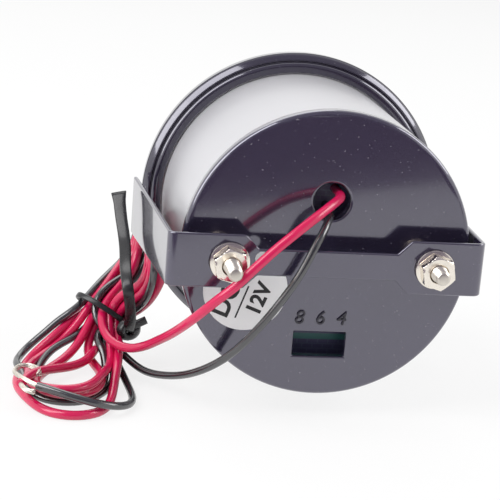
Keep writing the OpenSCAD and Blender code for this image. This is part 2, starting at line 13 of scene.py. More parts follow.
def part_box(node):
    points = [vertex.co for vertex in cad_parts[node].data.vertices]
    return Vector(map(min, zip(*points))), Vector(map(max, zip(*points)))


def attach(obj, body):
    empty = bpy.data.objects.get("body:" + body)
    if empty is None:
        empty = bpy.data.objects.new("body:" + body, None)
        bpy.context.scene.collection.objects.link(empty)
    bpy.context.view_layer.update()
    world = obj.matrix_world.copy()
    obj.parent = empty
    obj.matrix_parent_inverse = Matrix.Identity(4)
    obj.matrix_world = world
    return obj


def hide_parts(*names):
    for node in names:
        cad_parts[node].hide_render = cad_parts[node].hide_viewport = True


bl_info = {
    "name": "Panel voltmeter dressing",
    "version": (1, 0, 0),
    "blender": (4, 5, 0),
    "location": "3D View > Sidebar > Voltmeter",
    "description": "Builds the leads, finishes, dial print and stage of a round panel voltmeter",
    "category": "Object",
}

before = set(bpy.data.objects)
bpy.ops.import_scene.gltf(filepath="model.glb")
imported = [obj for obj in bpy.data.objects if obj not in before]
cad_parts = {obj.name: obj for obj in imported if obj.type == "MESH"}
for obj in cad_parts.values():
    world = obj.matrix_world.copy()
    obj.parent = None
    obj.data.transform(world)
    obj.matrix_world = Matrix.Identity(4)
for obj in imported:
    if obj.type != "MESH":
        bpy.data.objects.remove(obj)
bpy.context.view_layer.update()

MM = 0.001
CASE = "case"
MOVEMENT = "movement"
BOTH = (-1, 1)

# Sizes shared with the solids, in millimetres
FLOOR_Z = -30.0
CAN_R = 26.0
COVER_Y = 39.0
STUD_X = 18.1
STUD_R = 1.5
STUD_TIP = 53.2
STUD_HEAD_R = 2.75
STUD_HEAD_H = 2.0
NUT_FLAT = 2.75
NUT_H = 2.8
COVER_NUT_H = 1.8
WASHER_R = 3.5
WASHER_T = 0.6
STICKER_T = 0.15
EARTH_HOLE = (12.45, 0.7, 1.6)
BRACKET_IN = 44.0
BRACKET_T = 0.8
BRACKET_SHIFT = 0.9
PAD_H = 9.6
BEND_R = 0.9
LEG_CLEAR = 1.25
LEG_GAP = 6.5
LEG_SPLAY = 5.3
BEZEL_R = 30.0
WINDOW_R = 24.5
POCKET_R = 28.0
LIP_IN = 26.3
LIP_OUT = 28.3
LIP_T = 0.8

# Details of the case that the solids leave plain, in millimetres
SHOULDER_R = 3.0
WINDOW_EDGE = 0.25
RIM_R = 4.0
RIM_W = 1.3
RIM_STEP = 0.72
RIM_EDGE = 0.4
RIM_SINK = 0.12
GROOVE_Y = -0.95
GROOVE_ENDS = (0.12, 0.02)
LIP_R = 0.85
LENS_RINGS = (0.02, 6, 12, 18, 24)
LENS_EDGE = 0.3
LENS_FLAT_END = 0.5
BEZEL_SIDES = 240
LENS_SIDES = 144
EDGE_ROUND = 0.3
HOLE_RIM = 3

# Rounding of a solid's edges: angles in degrees, and how close in metres points have to be to merge
SHARP_ANGLE = 25.0
FLAT_ANGLE = 1.5
MERGE = 1e-6
TINY = 1e-30

# Threads, nuts and washers, in millimetres
THREAD_PITCH = 0.5
THREAD_DEPTH = 0.26
POINT_Y = 48.6
POINT_R = 1.33
SHORT_STUD = 2.0
STUD_TAPER = 0.75
HEAD_EDGE = 0.2
HEAD_STEP = 0.01
THREAD_ENDS = (0.06, 0.3)
THREAD_ROWS = 8
TIP_ROWS = (0.25, 0.12, 0.03, 0)
STUD_SIDES = 40
WASHER_SIDES = 72
NUT_TURN = math.radians(18)
NUT_BORE = STUD_R - 0.05
NUT_FLARE = STUD_R + 0.25
NUT_SINK = 0.3
NUT_FACE = NUT_FLAT - 0.12
NUT_SIDES = 96
NUT_CHAMFER = (0, 0.06, 0.12, 0.2, 0.3, 0.42)
WASHER_RIM = [
    (STUD_R + 0.25, 0), (WASHER_R - 0.14, 0), (WASHER_R, 0.12), (WASHER_R, WASHER_T - 0.14),
    (WASHER_R - 0.05, WASHER_T - 0.04), (WASHER_R - 0.15, WASHER_T), (STUD_R + 0.25, WASHER_T),
    (STUD_R + 0.12, WASHER_T - 0.12), (STUD_R + 0.12, 0.12),
]

# Print, in millimetres: words with their size and place, ticks by how many half volts they stand for
PRINT_T = 0.03
STICKER_WORDS = (("12V", 3.8, 11.5, -8.3), ("DC", 4.4, 17.3, -8.6))
STICKER_SLOPE = math.radians(69)
STICKER_BOLD = 0.13
STICKER_RULE = ((-13.56, -5.95), (-15.56, -11.87), 0.3)
COVER_FIGURES = (("8", 4.1), ("6", 0.3), ("4", -3.5))
COVER_FIGURE = {"size": 3.6, "depth": 0.8, "bold": -0.02, "slant": 0.2}
COVER_FIGURE_Z = -11.5
SCALE_START = math.radians(210)
TICKS = {4: (17.6, 0.85), 2: (18.8, 0.55), 1: (20, 0.35)}
TICK_OUT = 21.5
DIAL_FIGURE = 4.4
DIAL_FIGURE_AT = (14.6, 14.4)
DIAL_WORD = ("VOLTS", 3.2, -9.6)
SCALE_LINE = (21.65, 0.3)
RED_BAND = (20.6, 1.5)
RED_BAND_FROM = 0.875
RED_BAND_UNDER = 0.012
ARC_POINTS = 97

# Finishes, with lengths in metres
METAL = {"Metallic": 1.0}
GLOSS_TINT = (0.86, 0.84, 1, 1)
DUST = (2300, 0.73)
BUMP_DEPTH = 0.00005
WINDING_DEPTH = 0.00008
# Board colours, painted lighter than the board: painted light that makes up for the shade in the setting slot
BOARD_STRIP = (-16.85 * MM, 0.55 * MM)
STRIP_EDGE = 0.1 * MM
STRIP_COLOR = (0.045, 0.19, 0.185, 1)
TRACK_COLOR = (0.1, 0.11, 0.2, 1)

# Routes of the two leads, repeated from the solids, in millimetres
RED_LEAD = [
    (-1.5, 33, 11), (-1.5, 37, 11), (-1.2, 40, 11), (0, 42.5, 10.8), (2.5, 45.5, 9.8), (6.5, 48.5, 7.5),
    (11.2, 50, 3.8), (14.5, 50.5, 0.6), (17.7, 50.5, -2.8), (20.2, 49.5, -5.4), (24.1, 46, -10.4),
    (26.4, 40, -14.7), (28.5, 33.5, -18.5), (30.6, 29, -21.2), (33, 26, -22.6), (35.8, 22.8, -22.6),
    (37.4, 18.5, -21.4),
]
BLACK_LEAD = [
    (0, 33, 8), (0, 37, 8), (0.3, 40, 8), (1.3, 43.5, 7.6), (2.5, 46, 6.2), (3.9, 47.5, 4.1), (6.6, 48, -1.6),
    (10.5, 47, -8.4), (14.6, 45, -14.6), (17.8, 42, -18.9), (21.3, 38, -22.5), (24.6, 32.5, -25.4),
    (28.5, 27.5, -26.9), (31.3, 23.5, -26.8), (33.7, 19.6, -25.4), (35.7, 16.5, -22.8),
]
RED_EXIT = (-1.5, 39, 11)
BLACK_EXIT = (0, 39, 8)

# The tied hank leans from the floor on the splayed leg: its waist, its tie, the camera's eye and how it leans
WAIST = np.array((37.1, 13.2, -20.0))
ACROSS = np.array((0.849, -0.26, 0.461))
DEEP = np.array((0.011, 0.881, 0.478))
TIE_AT = np.array((37.0, 13.5, -19.8))
TIE_HALF = (6.0, 3.7)
EYE = np.array((55.3, 298.9, 71.2))
LEAN_FOOT = (36.0, -10.0)
LEAN_REACH = 34.0
FIRST_LAYER = 0.9
LAYER = 1.6

# Each turn on the floor runs down the near side, round the end and back up the far side: x, y and layer
RED_TURNS = [
    [(38.3, 4.6, 1), (37.6, 12, 1), (36.9, 23.4, 1), (38.2, 32.5, 1), (43.6, 38.6, 1), (49, 34.8, 1),
     (49.6, 29, 1), (43.1, 12.3, 0), (39.5, 1.5, 1)],
    [(34.5, 10.3, 1), (34.9, 15.9, 1), (36.2, 24.1, 1), (37.8, 30.6, 2), (40.4, 37, 2), (45, 40.6, 2),
     (49.6, 37, 2), (51, 29.6, 1), (50.2, 21.1, 1), (47.8, 12, 0), (42.8, 2.5, 1)],
    [(35.3, 18, 2), (35.7, 29.8, 1), (36.4, 36, 0), (38.6, 42, 0), (43.4, 44.2, 0), (47.7, 42.5, 0),
     (50.2, 38, 0), (52, 33, 0), (52.6, 26, 0), (51.6, 17, 0), (49.8, 11, 0), (45, 1.2, 0)],
    [(37.8, 7, 1), (38.4, 14, 1), (39, 20, 1.5), (41, 25.5, 2), (44, 29.5, 2.3), (47.5, 31.5, 2.4),
     (50.6, 34, 2.4), (52.6, 38.3, 2.2)],
]
BLACK_TURNS = [
    [(37.5, 4, 1), (36.8, 9, 0), (36.2, 16.1, 0), (36.8, 23.5, 0), (39.2, 31.5, 0), (43.5, 36.7, 0),
     (48, 34.4, 0), (49.9, 28.1, 0), (49.7, 23.2, 1), (45.5, 10, 1), (41.2, 1.5, 1)],
    [(35.5, 6, 0), (34.6, 14, 0), (34.7, 21.7, 0), (36.6, 28.8, 0), (40.7, 35.9, 0), (46, 37, 0),
     (51, 32, 0), (52.6, 24, 1), (52.6, 15, 0), (51.8, 8.5, 0), (50, 3.5, 0), (46.5, 0.5, 0)],
    [(34.8, 8, 1), (34, 14.9, 0), (33.4, 24.3, 0), (32.5, 34, 0), (33, 38.5, 0), (35.4, 41.5, 0.6),
     (38.5, 43, 1.1), (42.5, 43, 1.7), (46, 42, 2.2), (49.7, 40, 2.4)],
]

# Places across the waist for the strand that goes up into each fold and the one that comes down from it
RED_WAIST = [((0, 1.7), (-0.95, 0)), ((0.95, 0), (-1.9, 1.7)), ((2.85, 0), (-3.8, 1.7)),
             ((3.8, -1.7), (-3.8, -1.7))]
BLACK_WAIST = [((1.9, 1.7), (-2.85, 0)), ((0, -1.7), (-1.9, -1.7)), ((4.75, 0), (-4.75, 0))]
# The folds between the leg and the can are arcs about one line: radius and layer, and degrees in a step
RED_FOLDS = [(6.4, 0), (8.2, 0), (10, 0), (10.2, 1)]
BLACK_FOLDS = [(8.3, 1), (6.4, 1), (11.8, 0)]
FOLD_Y = 11.6
FOLD_Z = -10.5
FOLD_GAP = 1.05
FOLD_LAYER = 1.9
FOLD_STEP = 30

# Settling of the hank: distances in millimetres, and shares of a move, early and late in the run
ROUTE_STEP = 1.6
WIRE_STEP = 1.0
CURVE_POINTS = 24
HELD_POINTS = 5
RECHECK = 8
NEAR = 3.6
OWN_REACH = 5.4
SPACING = 1.03
PUSH = 0.3
PUSH_MOST = 0.4
BEND_LEAST = 7.0
LATE = 0.6
STIFF = (0.2, 0.32)
SMOOTH = 0.12
EVEN = 0.25
HOMING = (0.02, 0.002)
TIE_SKIN = (1.4, 1.35)
TIE_REACH = 1.6
TIE_CATCH = 2.2
TIE_PULL = 0.5
CAN_GAP = 0.1
WALL_GAP = 0.05
WALL_MARGIN = 1
SMALL = 1e-9

# The tie, in millimetres: its section, its tail with widths and thicknesses along it, the ring, the knot and
# the short end
TIE_SECTION = (1.2, 0.5, 16, 0.1)
TAIL_STEP = 0.8
TIE_TAIL = [
    (32.7, 19.3, -21.2), (32.6, 21.5, -18.8), (32.8, 23.3, -16.2), (33.5, 24.6, -12), (33.85, 22.5, -9.8),
    (33.9, 19, -8.5), (33.84, 16, -6.75), (34.03, 13, -4.65), (34.6, 10, -1.42), (35.08, 7, 2.42),
]
TAIL_WIDTH = ([0, 0.2, 0.4, 0.6, 0.8, 0.94, 1], [0.95, 0.85, 0.9, 0.95, 0.95, 1.0, 1.25])
TAIL_THICK = ([0, 0.2, 0.6, 0.95, 1], [1.3, 1.1, 1, 0.95, 0.7])
RING_ENDS = (math.radians(-170), math.radians(165))
RING_POINTS = 44
RING_SCALE = (0.46, 0.8)
KNOT = (np.array((32.2, 15.6, -22.3)), np.array((32.7, 19.2, -21.2)))
KNOT_SWING = ((0.1, 0.5, 1.5), (1.4, 0.7, 0))
KNOT_SCALE = (0.8, 1.6)
KNOT_TURN = 2.6 * math.pi
KNOT_POINTS = 26
TIE_STUB = [(32, 19.2, -20.6), (30.6, 19.3, -19.8), (29.4, 19.2, -19.2)]
STUB_STEP = 0.4
STUB_SCALE = (0.7, 1.2)

# Bare ends: strands in a ring round one, in millimetres
STRANDS = 9
STRAND_R = 0.13
STRAND_SIDES = 8
STRAND_RING = 0.28
STRAND_STEP = 0.3
STRAND_TWIST = 0.12
STRAND_SPLAY = 0.8
BARE_ENDS = [
    ("red_strands", "red_wire_end",
     [(52.5, 38, -25.6), (52.4, 39.8, -25.3), (51.6, 41.4, -25.5), (50.2, 42.2, -25.6)]),
    ("black_strands", "black_wire_end",
     [(49.2, 40.3, -25.3), (50.6, 39.4, -25), (52.3, 37.6, -24.7), (53.6, 34.6, -24.8), (53, 31.8, -24.8),
      (51.2, 31.2, -24.7), (49.6, 32.8, -24.7), (49.3, 35.4, -24.8)]),
]

# Stage, in metres but for the sensor: each lamp's place, long side, size and power, which is a property for
# the key lamp, and cloths that only reflections show
LAMPS = [
    ("key", (0.553, 0.202, 0.449), (0.565, -0.036, -0.61), (0.82, 0.42), None),
    ("fill", (-0.62, 0.1, 0.42), (0, 1, 0), (0.4, 0.4), 2.2),
    ("back", (0.1, -0.5, 0.6), (1, 0, 0), (0.5, 0.5), 1.2),
]
AIM = Vector((0.0076, 0, -0.01))
SENSOR = 36
NEAR_CLIP = 0.01
FLOOR_HALF = 4
FLOOR_COLOR = (0.9, 0.9, 0.9, 1)
FLOOR_WHITE = 0.8
FLAG_ALONG = (0.6, 1, 0)
FLAG_COLOR = (0.17, 0.13, 0.19, 1)
FLAG_CORNERS = ((-0.8, 0.1), (0.8, 1.6))
FLAG_Z = (FLOOR_Z + 0.4) * MM
ROOM_HALF = 1.3
ROOM_NEAR = -0.3
ROOM_FAR = 2.4
ROOM_TOP = 1.0
ROOM_EDGE = ((0, 1, 0), -0.25, 0.1)
WALL_COLOR = (0.18, 0.16, 0.21, 1)
CEILING_COLOR = (0.38, 0.36, 0.42, 1)


class VoltmeterLeads(PropertyGroup):
    """Sizes of the supply leads"""

    red_d: FloatProperty(name="Red diameter", description="Outside diameter of the red lead",
                         default=1.7 * MM, unit="LENGTH")
    black_d: FloatProperty(name="Black diameter", description="Outside diameter of the black lead",
                           default=1.45 * MM, unit="LENGTH")
    red_length: FloatProperty(name="Red lead", description="Real length of the red lead",
                              default=0.562, unit="LENGTH")
    black_length: FloatProperty(name="Black lead", description="Real length of the black lead",
                                default=0.4435, unit="LENGTH")
    settle_steps: IntProperty(name="Settling steps", description="Steps in which the tied loops push apart",
                              default=900)


class VoltmeterFinish(PropertyGroup):
    """Colours of the main finishes"""

    gloss_black: FloatVectorProperty(name="Gloss black", description="Enamel of the bezel, cover and bracket",
                                     default=(0.027, 0.022, 0.045), subtype="COLOR", size=3)
    can_metal: FloatVectorProperty(name="Can metal", description="Bright sheet of the can",
                                   default=(0.6, 0.595, 0.62), subtype="COLOR", size=3)
    nickel: FloatVectorProperty(name="Nickel", description="Plating of the studs, nuts and washers",
                                default=(0.92, 0.86, 0.77), subtype="COLOR", size=3)
    red: FloatVectorProperty(name="Red sleeve", description="Sleeve of the red lead",
                             default=(0.7, 0.008, 0.095), subtype="COLOR", size=3)
    black: FloatVectorProperty(name="Black sleeve", description="Sleeve of the black lead",
                               default=(0.022, 0.022, 0.027), subtype="COLOR", size=3)


class VoltmeterDial(PropertyGroup):
    """Scale and colours of the dial"""

    lowest: FloatProperty(name="Lowest reading", description="Volts at the start of the scale", default=8.0)
    highest: FloatProperty(name="Highest reading", description="Volts at the end of the scale", default=16.0)
    sweep: FloatProperty(name="Sweep", description="Angle of the whole scale", default=math.radians(240),
                         subtype="ANGLE")
    face: FloatVectorProperty(name="Dial face", description="Paint of the dial face",
                              default=(0.84, 0.84, 0.82), subtype="COLOR", size=3)
    needle: FloatVectorProperty(name="Pointer", description="Lacquer of the pointer",
                                default=(0.85, 0.16, 0.02), subtype="COLOR", size=3)


class VoltmeterStage(PropertyGroup):
    """Camera and light"""

    lens: FloatProperty(name="Lens", description="Focal length in millimetres on a 36 mm sensor",
                        default=112.1, unit="CAMERA")
    roll: FloatProperty(name="Roll", description="Tilt of the camera about its own axis",
                        default=math.radians(4.58), subtype="ANGLE")
    ambient: FloatProperty(name="Ambient", description="Strength of the light from all round", default=0.5)
    key_power: FloatProperty(name="Key light", description="Power of the main lamp in watts", default=4.7,
                             unit="POWER")
    flag_start: FloatProperty(name="Flag edge", description="Where the dark cloth starts behind the cover",
                              default=0.185, unit="LENGTH")
    flag_full: FloatProperty(name="Flag full", description="Where the dark cloth is full", default=0.201,
                             unit="LENGTH")


def mm(points):
    """Millimetres to metres, as an array"""
    return np.asarray(points, dtype=float) * MM


def in_mm(node):
    """Lowest and highest corner of a node's box, in millimetres"""
    return [[c / MM for c in corner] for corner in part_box(node)]


def new_object(name, data, body=CASE):
    """Links a new object and lets it ride on a body"""
    piece = bpy.data.objects.new(name, data)
    bpy.context.scene.collection.objects.link(piece)
    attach(piece, body)
    return piece


def add_piece(name, parts, material, node=None, sharp=None):
    """Mesh piece from parts in metres, with the node that it stands for; it is smooth up to the sharp
    angle in degrees, or flat without one"""
    verts, faces = [], []
    for points, sides in parts:
        start = len(verts)
        verts.extend(tuple(p) for p in points)
        faces.extend(tuple(i + start for i in side) for side in sides)
    data = bpy.data.meshes.new(name)
    data.from_pydata(verts, [], faces)
    data.update()
    data.materials.append(material)
    for face in data.polygons:
        face.use_smooth = sharp is not None
    if sharp:
        data.set_sharp_from_angle(angle=math.radians(sharp))
    piece = new_object(name, data)
    if node:
        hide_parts(node)


def catmull(points, step):
    """Smooth curve through the points, with points about step apart"""
    p = np.asarray(points, dtype=float)
    ext = np.vstack((2 * p[0] - p[1], p, 2 * p[-1] - p[-2]))
    t = np.linspace(0, 1, CURVE_POINTS, endpoint=False)[:, None]
    fine = []
    for i in range(1, len(ext) - 2):
        a, b, c, d = ext[i - 1:i + 3]
        fine.append(0.5 * (2 * b + (c - a) * t + (2 * a - 5 * b + 4 * c - d) * t ** 2
                           + (3 * b - a - 3 * c + d) * t ** 3))
    fine = np.vstack(fine + [p[-1:]])
    run = np.concatenate(([0], np.cumsum(np.linalg.norm(np.diff(fine, axis=0), axis=1))))
    at = np.linspace(0, run[-1], max(2, int(round(run[-1] / step)) + 1))
    return np.column_stack([np.interp(at, run, fine[:, k]) for k in range(3)])


def frames_along(path, side):
    """Side and third vector at each point, carried along without twist"""
    tangent = np.gradient(path, axis=0)
    tangent /= np.linalg.norm(tangent, axis=1)[:, None]
    sides = []
    s = np.asarray(side, dtype=float)
    for t in tangent:
        s = s - t * np.dot(s, t)
        s /= np.linalg.norm(s)
        sides.append(s)
    sides = np.array(sides)
    return sides, np.cross(tangent, sides)


def sweep(path, section, side=(0, 0, 1), scale=None):
    """Points and faces of a section carried along a path"""
    path = np.asarray(path, dtype=float)
    section = np.asarray(section, dtype=float)
    n, k = len(path), len(section)
    s, b = frames_along(path, side)
    scale = np.ones((n, 2)) if scale is None else scale
    wide, deep = section.T
    verts = [path[i] + np.outer(wide * scale[i, 0], s[i]) + np.outer(deep * scale[i, 1], b[i])
             for i in range(n)]
    faces = [(i * k + j, i * k + (j + 1) % k, (i + 1) * k + (j + 1) % k, (i + 1) * k + j)
             for i in range(n - 1) for j in range(k)]
    faces += [tuple(range(k - 1, -1, -1)), tuple((n - 1) * k + j for j in range(k))]
    return np.vstack(verts), faces


def oval(width, depth, points, bulge=0.0):
    """Section of a strip or a wire, in metres from millimetres"""
    return [(math.cos(a) * width * MM, (math.sin(a) * depth + bulge * math.cos(2 * a)) * MM)
            for a in np.linspace(0, 2 * math.pi, points, endpoint=False)]


def scaled(section, x, y):
    """Section made wider and deeper"""
    return [(a * x, b * y) for a, b in section]


def on_ring(centre, r, a, y):
    """Point at a radius and an angle about a line along Y, in metres from millimetres"""
    return ((centre[0] + r * math.cos(a)) * MM, y * MM, (centre[1] + r * math.sin(a)) * MM)


def lathe(profile, segments, centre=(0, 0), turn=0.0):
    """Points and faces of a closed profile of (radius, y) in millimetres, or of a profile for each angle,
    turned about a line along Y"""
    verts, faces = [], []
    for j in range(segments):
        a = turn + 2 * math.pi * j / segments
        points = profile(a) if callable(profile) else profile
        n = len(points)
        verts += [on_ring(centre, r, a, y) for r, y in points]
    for j in range(segments):
        k = (j + 1) % segments
        faces += [(j * n + i, j * n + (i + 1) % n, k * n + (i + 1) % n, k * n + i) for i in range(n)]
    return verts, faces


def turned(rows, radius, segments, centre):
    """Points and faces of a solid with a radius for each row along Y and each angle"""
    angles = [2 * math.pi * j / segments for j in range(segments)]
    verts = [on_ring(centre, radius(y, a), a, y) for y in rows for a in angles]
    faces = []
    for i in range(len(rows) - 1):
        for j in range(segments):
            k = (j + 1) % segments
            faces.append((i * segments + j, (i + 1) * segments + j, (i + 1) * segments + k, i * segments + k))
    last = (len(rows) - 1) * segments
    faces += [tuple(range(segments)), tuple(last + j for j in range(segments - 1, -1, -1))]
    return verts, faces


def arc_points(x, y, radius, start, end, steps):
    """Points of an arc between two angles in degrees"""
    angles = np.radians(np.linspace(start, end, steps + 1))
    return [(x + radius * math.cos(a), y + radius * math.sin(a)) for a in angles]


def bezel_profile():
    """Section of the bezel: rounded front, rolled rear rim, groove and the lip over the can's flange"""
    front = in_mm("bezel")[0][1]
    lens = in_mm("lens")[0][1]
    back = (RIM_R - RIM_SINK) * math.sqrt(0.5)
    points = [(WINDOW_R, lens)]
    points += arc_points(WINDOW_R + WINDOW_EDGE, front + WINDOW_EDGE, WINDOW_EDGE, 180, 270, 4)
    points += arc_points(BEZEL_R - SHOULDER_R, front + SHOULDER_R, SHOULDER_R, 270, 360, 16)
    points += arc_points(BEZEL_R - RIM_EDGE, -RIM_STEP - RIM_W, RIM_EDGE, 0, 26, 4)
    points += arc_points(BEZEL_R - RIM_W / 2 - back, -RIM_STEP - RIM_W / 2 - back, RIM_R, 32, 58, 12)
    points += arc_points(BEZEL_R - RIM_W, -RIM_STEP - RIM_EDGE, RIM_EDGE, 64, 100, 5)
    points += [(LIP_OUT + end, GROOVE_Y) for end in GROOVE_ENDS]
    points += arc_points(LIP_OUT - LIP_R, -LIP_R, LIP_R, 0, 90, 12)
    points += arc_points(LIP_IN + WINDOW_EDGE, -WINDOW_EDGE, WINDOW_EDGE, 90, 180, 4)
    return points + [(LIP_IN, -LIP_T), (POCKET_R, -LIP_T), (POCKET_R, lens)]


def lens_profile():
    """Section of the lens, a flat disc with rounded edges"""
    low, high = in_mm("lens")
    front, rear, edge = low[1], high[1], high[0] - LENS_EDGE
    rings = LENS_RINGS + (high[0] - LENS_FLAT_END,)
    points = [(r, front) for r in rings] + arc_points(edge, front + LENS_EDGE, LENS_EDGE, 270, 360, 4)
    points += arc_points(edge, rear - LENS_EDGE, LENS_EDGE, 0, 90, 4)
    return points + [(r, rear) for r in reversed(rings)]


def nut(low, height, x):
    """Hexagon nut on a stud, chamfered at both ends"""
    high = low + height

    def profile(a):
        """Section of the nut at an angle"""
        flat = NUT_FLAT / math.cos((a - NUT_TURN) % (math.pi / 3) - math.pi / 6)
        side = [(min(flat, NUT_FACE + s * math.sqrt(3)), s) for s in NUT_CHAMFER]
        up = [(r, low + s) for r, s in side]
        down = [(r, high - s) for r, s in reversed(side)]
        hole = [(NUT_FLARE, high), (NUT_BORE, high - NUT_SINK), (NUT_BORE, low + NUT_SINK)]
        return [(NUT_FLARE, low)] + up + down + hole

    return lathe(profile, NUT_SIDES, (x, 0), NUT_TURN)


def leg_inside(y):
    """X of the splayed leg's inner face at a distance behind the panel"""
    reach = BRACKET_IN - BEND_R - y
    return CAN_R + LEG_CLEAR + BRACKET_SHIFT + reach * math.tan(math.radians(LEG_SPLAY))


def fold(radius, layer):
    """Points of one fold of the hank between the leg and the can"""
    points = []
    for a in range(180, -1, -FOLD_STEP):
        y = FOLD_Y + radius * math.cos(math.radians(a))
        z = FOLD_Z + radius * math.sin(math.radians(a))
        points.append((leg_inside(y) - FOLD_GAP - FOLD_LAYER * layer, y, z))
    return points


def at_waist(place):
    """Point of the tied waist for a place across it"""
    return tuple(WAIST + ACROSS * place[0] + DEEP * place[1])


def wire_route(lead, turns, places, folds):
    """Whole route of one lead: out of the cover, up into a fold, down round a turn, and so on"""
    route = list(lead)
    for k, turn in enumerate(turns):
        route.append(at_waist(places[k][0]))
        route += fold(*folds[k])
        route.append(at_waist(places[k][1]))
        route += [lean(np.array((x, y, FLOOR_Z + FIRST_LAYER + LAYER * layer))) for x, y, layer in turn]
    return route


def lean(place):
    """Floor point moved up its line of sight, the more the nearer it is to the waist"""
    away = math.hypot(place[0] - LEAN_FOOT[0], place[1] - LEAN_FOOT[1]) / LEAN_REACH
    rise = (WAIST[2] - place[2]) * max(0.0, 1 - away)
    return tuple(place + (EYE - place) * rise / (EYE[2] - place[2]))


def near_pairs(p, wire, order):
    """Pairs of points that may touch, apart from neighbours along one wire"""
    dist = np.sqrt(((p[:, None] - p[None]) ** 2).sum(axis=2))
    apart = (wire[:, None] != wire[None]) | (np.abs(order[:, None] - order[None]) * ROUTE_STEP > OWN_REACH)
    return np.nonzero(np.triu((dist < NEAR) & apart))


def moved(p, one, two, move):
    """Moves of all the points, from moves that push two lists of them opposite ways"""
    total = np.zeros_like(p)
    np.add.at(total, one, move)
    np.add.at(total, two, -move)
    return total


def lengths(vectors):
    """Length of each vector, as a column"""
    return np.linalg.norm(vectors, axis=1)[:, None]


def eased(p, inner, stiff):
    """Moves that open bends which are too tight and smooth the rest"""
    bow = np.zeros_like(p)
    bow[inner] = (p[inner - 1] + p[inner + 1]) / 2 - p[inner]
    even = np.zeros_like(p)
    even[inner] = bow[inner] - (bow[inner - 1] + bow[inner + 1]) / 2
    sag = ROUTE_STEP ** 2 / (2 * BEND_LEAST)
    tight = bow * np.maximum(1 - sag / (lengths(bow) + SMALL), 0)
    ease = stiff * tight
    ease[inner - 1] -= stiff / 2 * tight[inner]
    ease[inner + 1] -= stiff / 2 * tight[inner]
    return SMOOTH * even + ease


def tied(p):
    """Moves that hold the strands inside the tie"""
    out = p - TIE_AT
    across, deep = out @ ACROSS, out @ DEEP
    part = np.column_stack((across / (TIE_HALF[0] - TIE_SKIN[0]), deep / (TIE_HALF[1] - TIE_SKIN[1])))
    over = np.maximum(lengths(part), 1)
    along = out - np.outer(across, ACROSS) - np.outer(deep, DEEP)
    caught = (lengths(along) < TIE_REACH) & (over < TIE_CATCH)
    return np.where(caught, (out - along) * (1 / over - 1) * TIE_PULL, 0)


def kept_out(p, half, loose):
    """Points lifted on the floor, out of the can and inside the leg"""
    p[:, 2] = np.maximum(p[:, 2], FLOOR_Z + half)
    r = np.hypot(p[:, 0], p[:, 2])
    clear = CAN_R + half + CAN_GAP
    inside = (r < clear) & (p[:, 1] < COVER_Y) & loose
    p[:, [0, 2]] *= np.where(inside, clear / r, 1)[:, None]
    wall = leg_inside(p[:, 1]) - half - WALL_GAP
    behind = (np.abs(p[:, 2]) < PAD_H / 2 + WALL_MARGIN) & (p[:, 1] > LEG_GAP - WALL_MARGIN) & loose
    p[:, 0] = np.where(behind, np.minimum(p[:, 0], wall), p[:, 0])
    return p


def settle(routes, fixed, steps, halves):
    """Lets the routes push apart, bend no tighter than a limp wire does, and rest on what is near"""
    lines = [catmull(route, ROUTE_STEP) for route in routes]
    count = [len(line) for line in lines]
    wire = np.repeat(range(len(lines)), count)
    half = np.array(halves)[wire]
    order = np.concatenate([np.arange(n) for n in count])
    free = np.concatenate([np.where(np.arange(n) < len(catmull(lead, ROUTE_STEP)) - HELD_POINTS, 0.0, 1.0)
                           for n, lead in zip(count, fixed)])[:, None]
    ends = np.cumsum(count) - 1
    free[ends] = 0
    p = np.vstack(lines)
    home = p.copy()
    inner = np.setdiff1d(np.arange(1, len(p) - 1), np.concatenate((ends, ends + 1)))
    first = np.setdiff1d(np.arange(len(p) - 1), ends)
    owner = wire[first]
    for step in range(steps):
        late = step > steps * LATE
        if step % RECHECK == 0:
            one, two = near_pairs(p, wire, order)
            gap = (half[one] + half[two])[:, None] * SPACING
        off = p[one] - p[two]
        far = lengths(off) + SMALL
        push = moved(p, one, two, off / far * np.maximum(gap - far, 0) * PUSH)
        p = p + np.clip(push, -PUSH_MOST, PUSH_MOST) * free
        p = p + eased(p, inner, STIFF[late]) * free
        run = p[first + 1] - p[first]
        long = lengths(run)
        mean = np.array([long[owner == k].mean() for k in range(len(lines))])[owner][:, None]
        p = p + moved(p, first, first + 1, run / long * (long - mean) * EVEN) * free
        p = p + HOMING[late] * (home - p) * free
        p = kept_out(p + tied(p) * free, half, free[:, 0] > 0)
    return np.split(p, ends[:-1] + 1)


def set_inputs(node, values):
    """Gives inputs of a node their values"""
    for socket, value in values.items():
        node.inputs[socket].default_value = value


def add_node(tree, kind, values=None, **settings):
    """New shader node with its settings and the values of its inputs"""
    node = tree.nodes.new("ShaderNode" + kind)
    for name, value in settings.items():
        setattr(node, name, value)
    set_inputs(node, values or {})
    return node


def join_nodes(tree, *links):
    """Links an output to an input, for each row of node, output, node and input"""
    for source, output, target, socket in links:
        tree.links.new(source.outputs[output], target.inputs[socket])


def any_ray(tree, *kinds):
    """Node that gives 1 for the named kinds of rays and 0 for the rest"""
    path = add_node(tree, "LightPath")
    last, output = path, "Is %s Ray" % kinds[0]
    for kind in kinds[1:]:
        most = add_node(tree, "Math", operation="MAXIMUM")
        join_nodes(tree, (last, output, most, 0), (path, "Is %s Ray" % kind, most, 1))
        last, output = most, 0
    return last


def mixed_surface(tree, amount, first, second):
    """Mixes two shaders into the material's surface"""
    mix = add_node(tree, "MixShader")
    join_nodes(tree, (amount, 0, mix, 0), (first, 0, mix, 1), (second, 0, mix, 2),
               (mix, 0, tree.nodes["Material Output"], "Surface"))


def new_material(name):
    """New material, its tree and its shader"""
    material = bpy.data.materials.new(name)
    material.use_nodes = True
    tree = material.node_tree
    return material, tree, tree.nodes["Principled BSDF"]


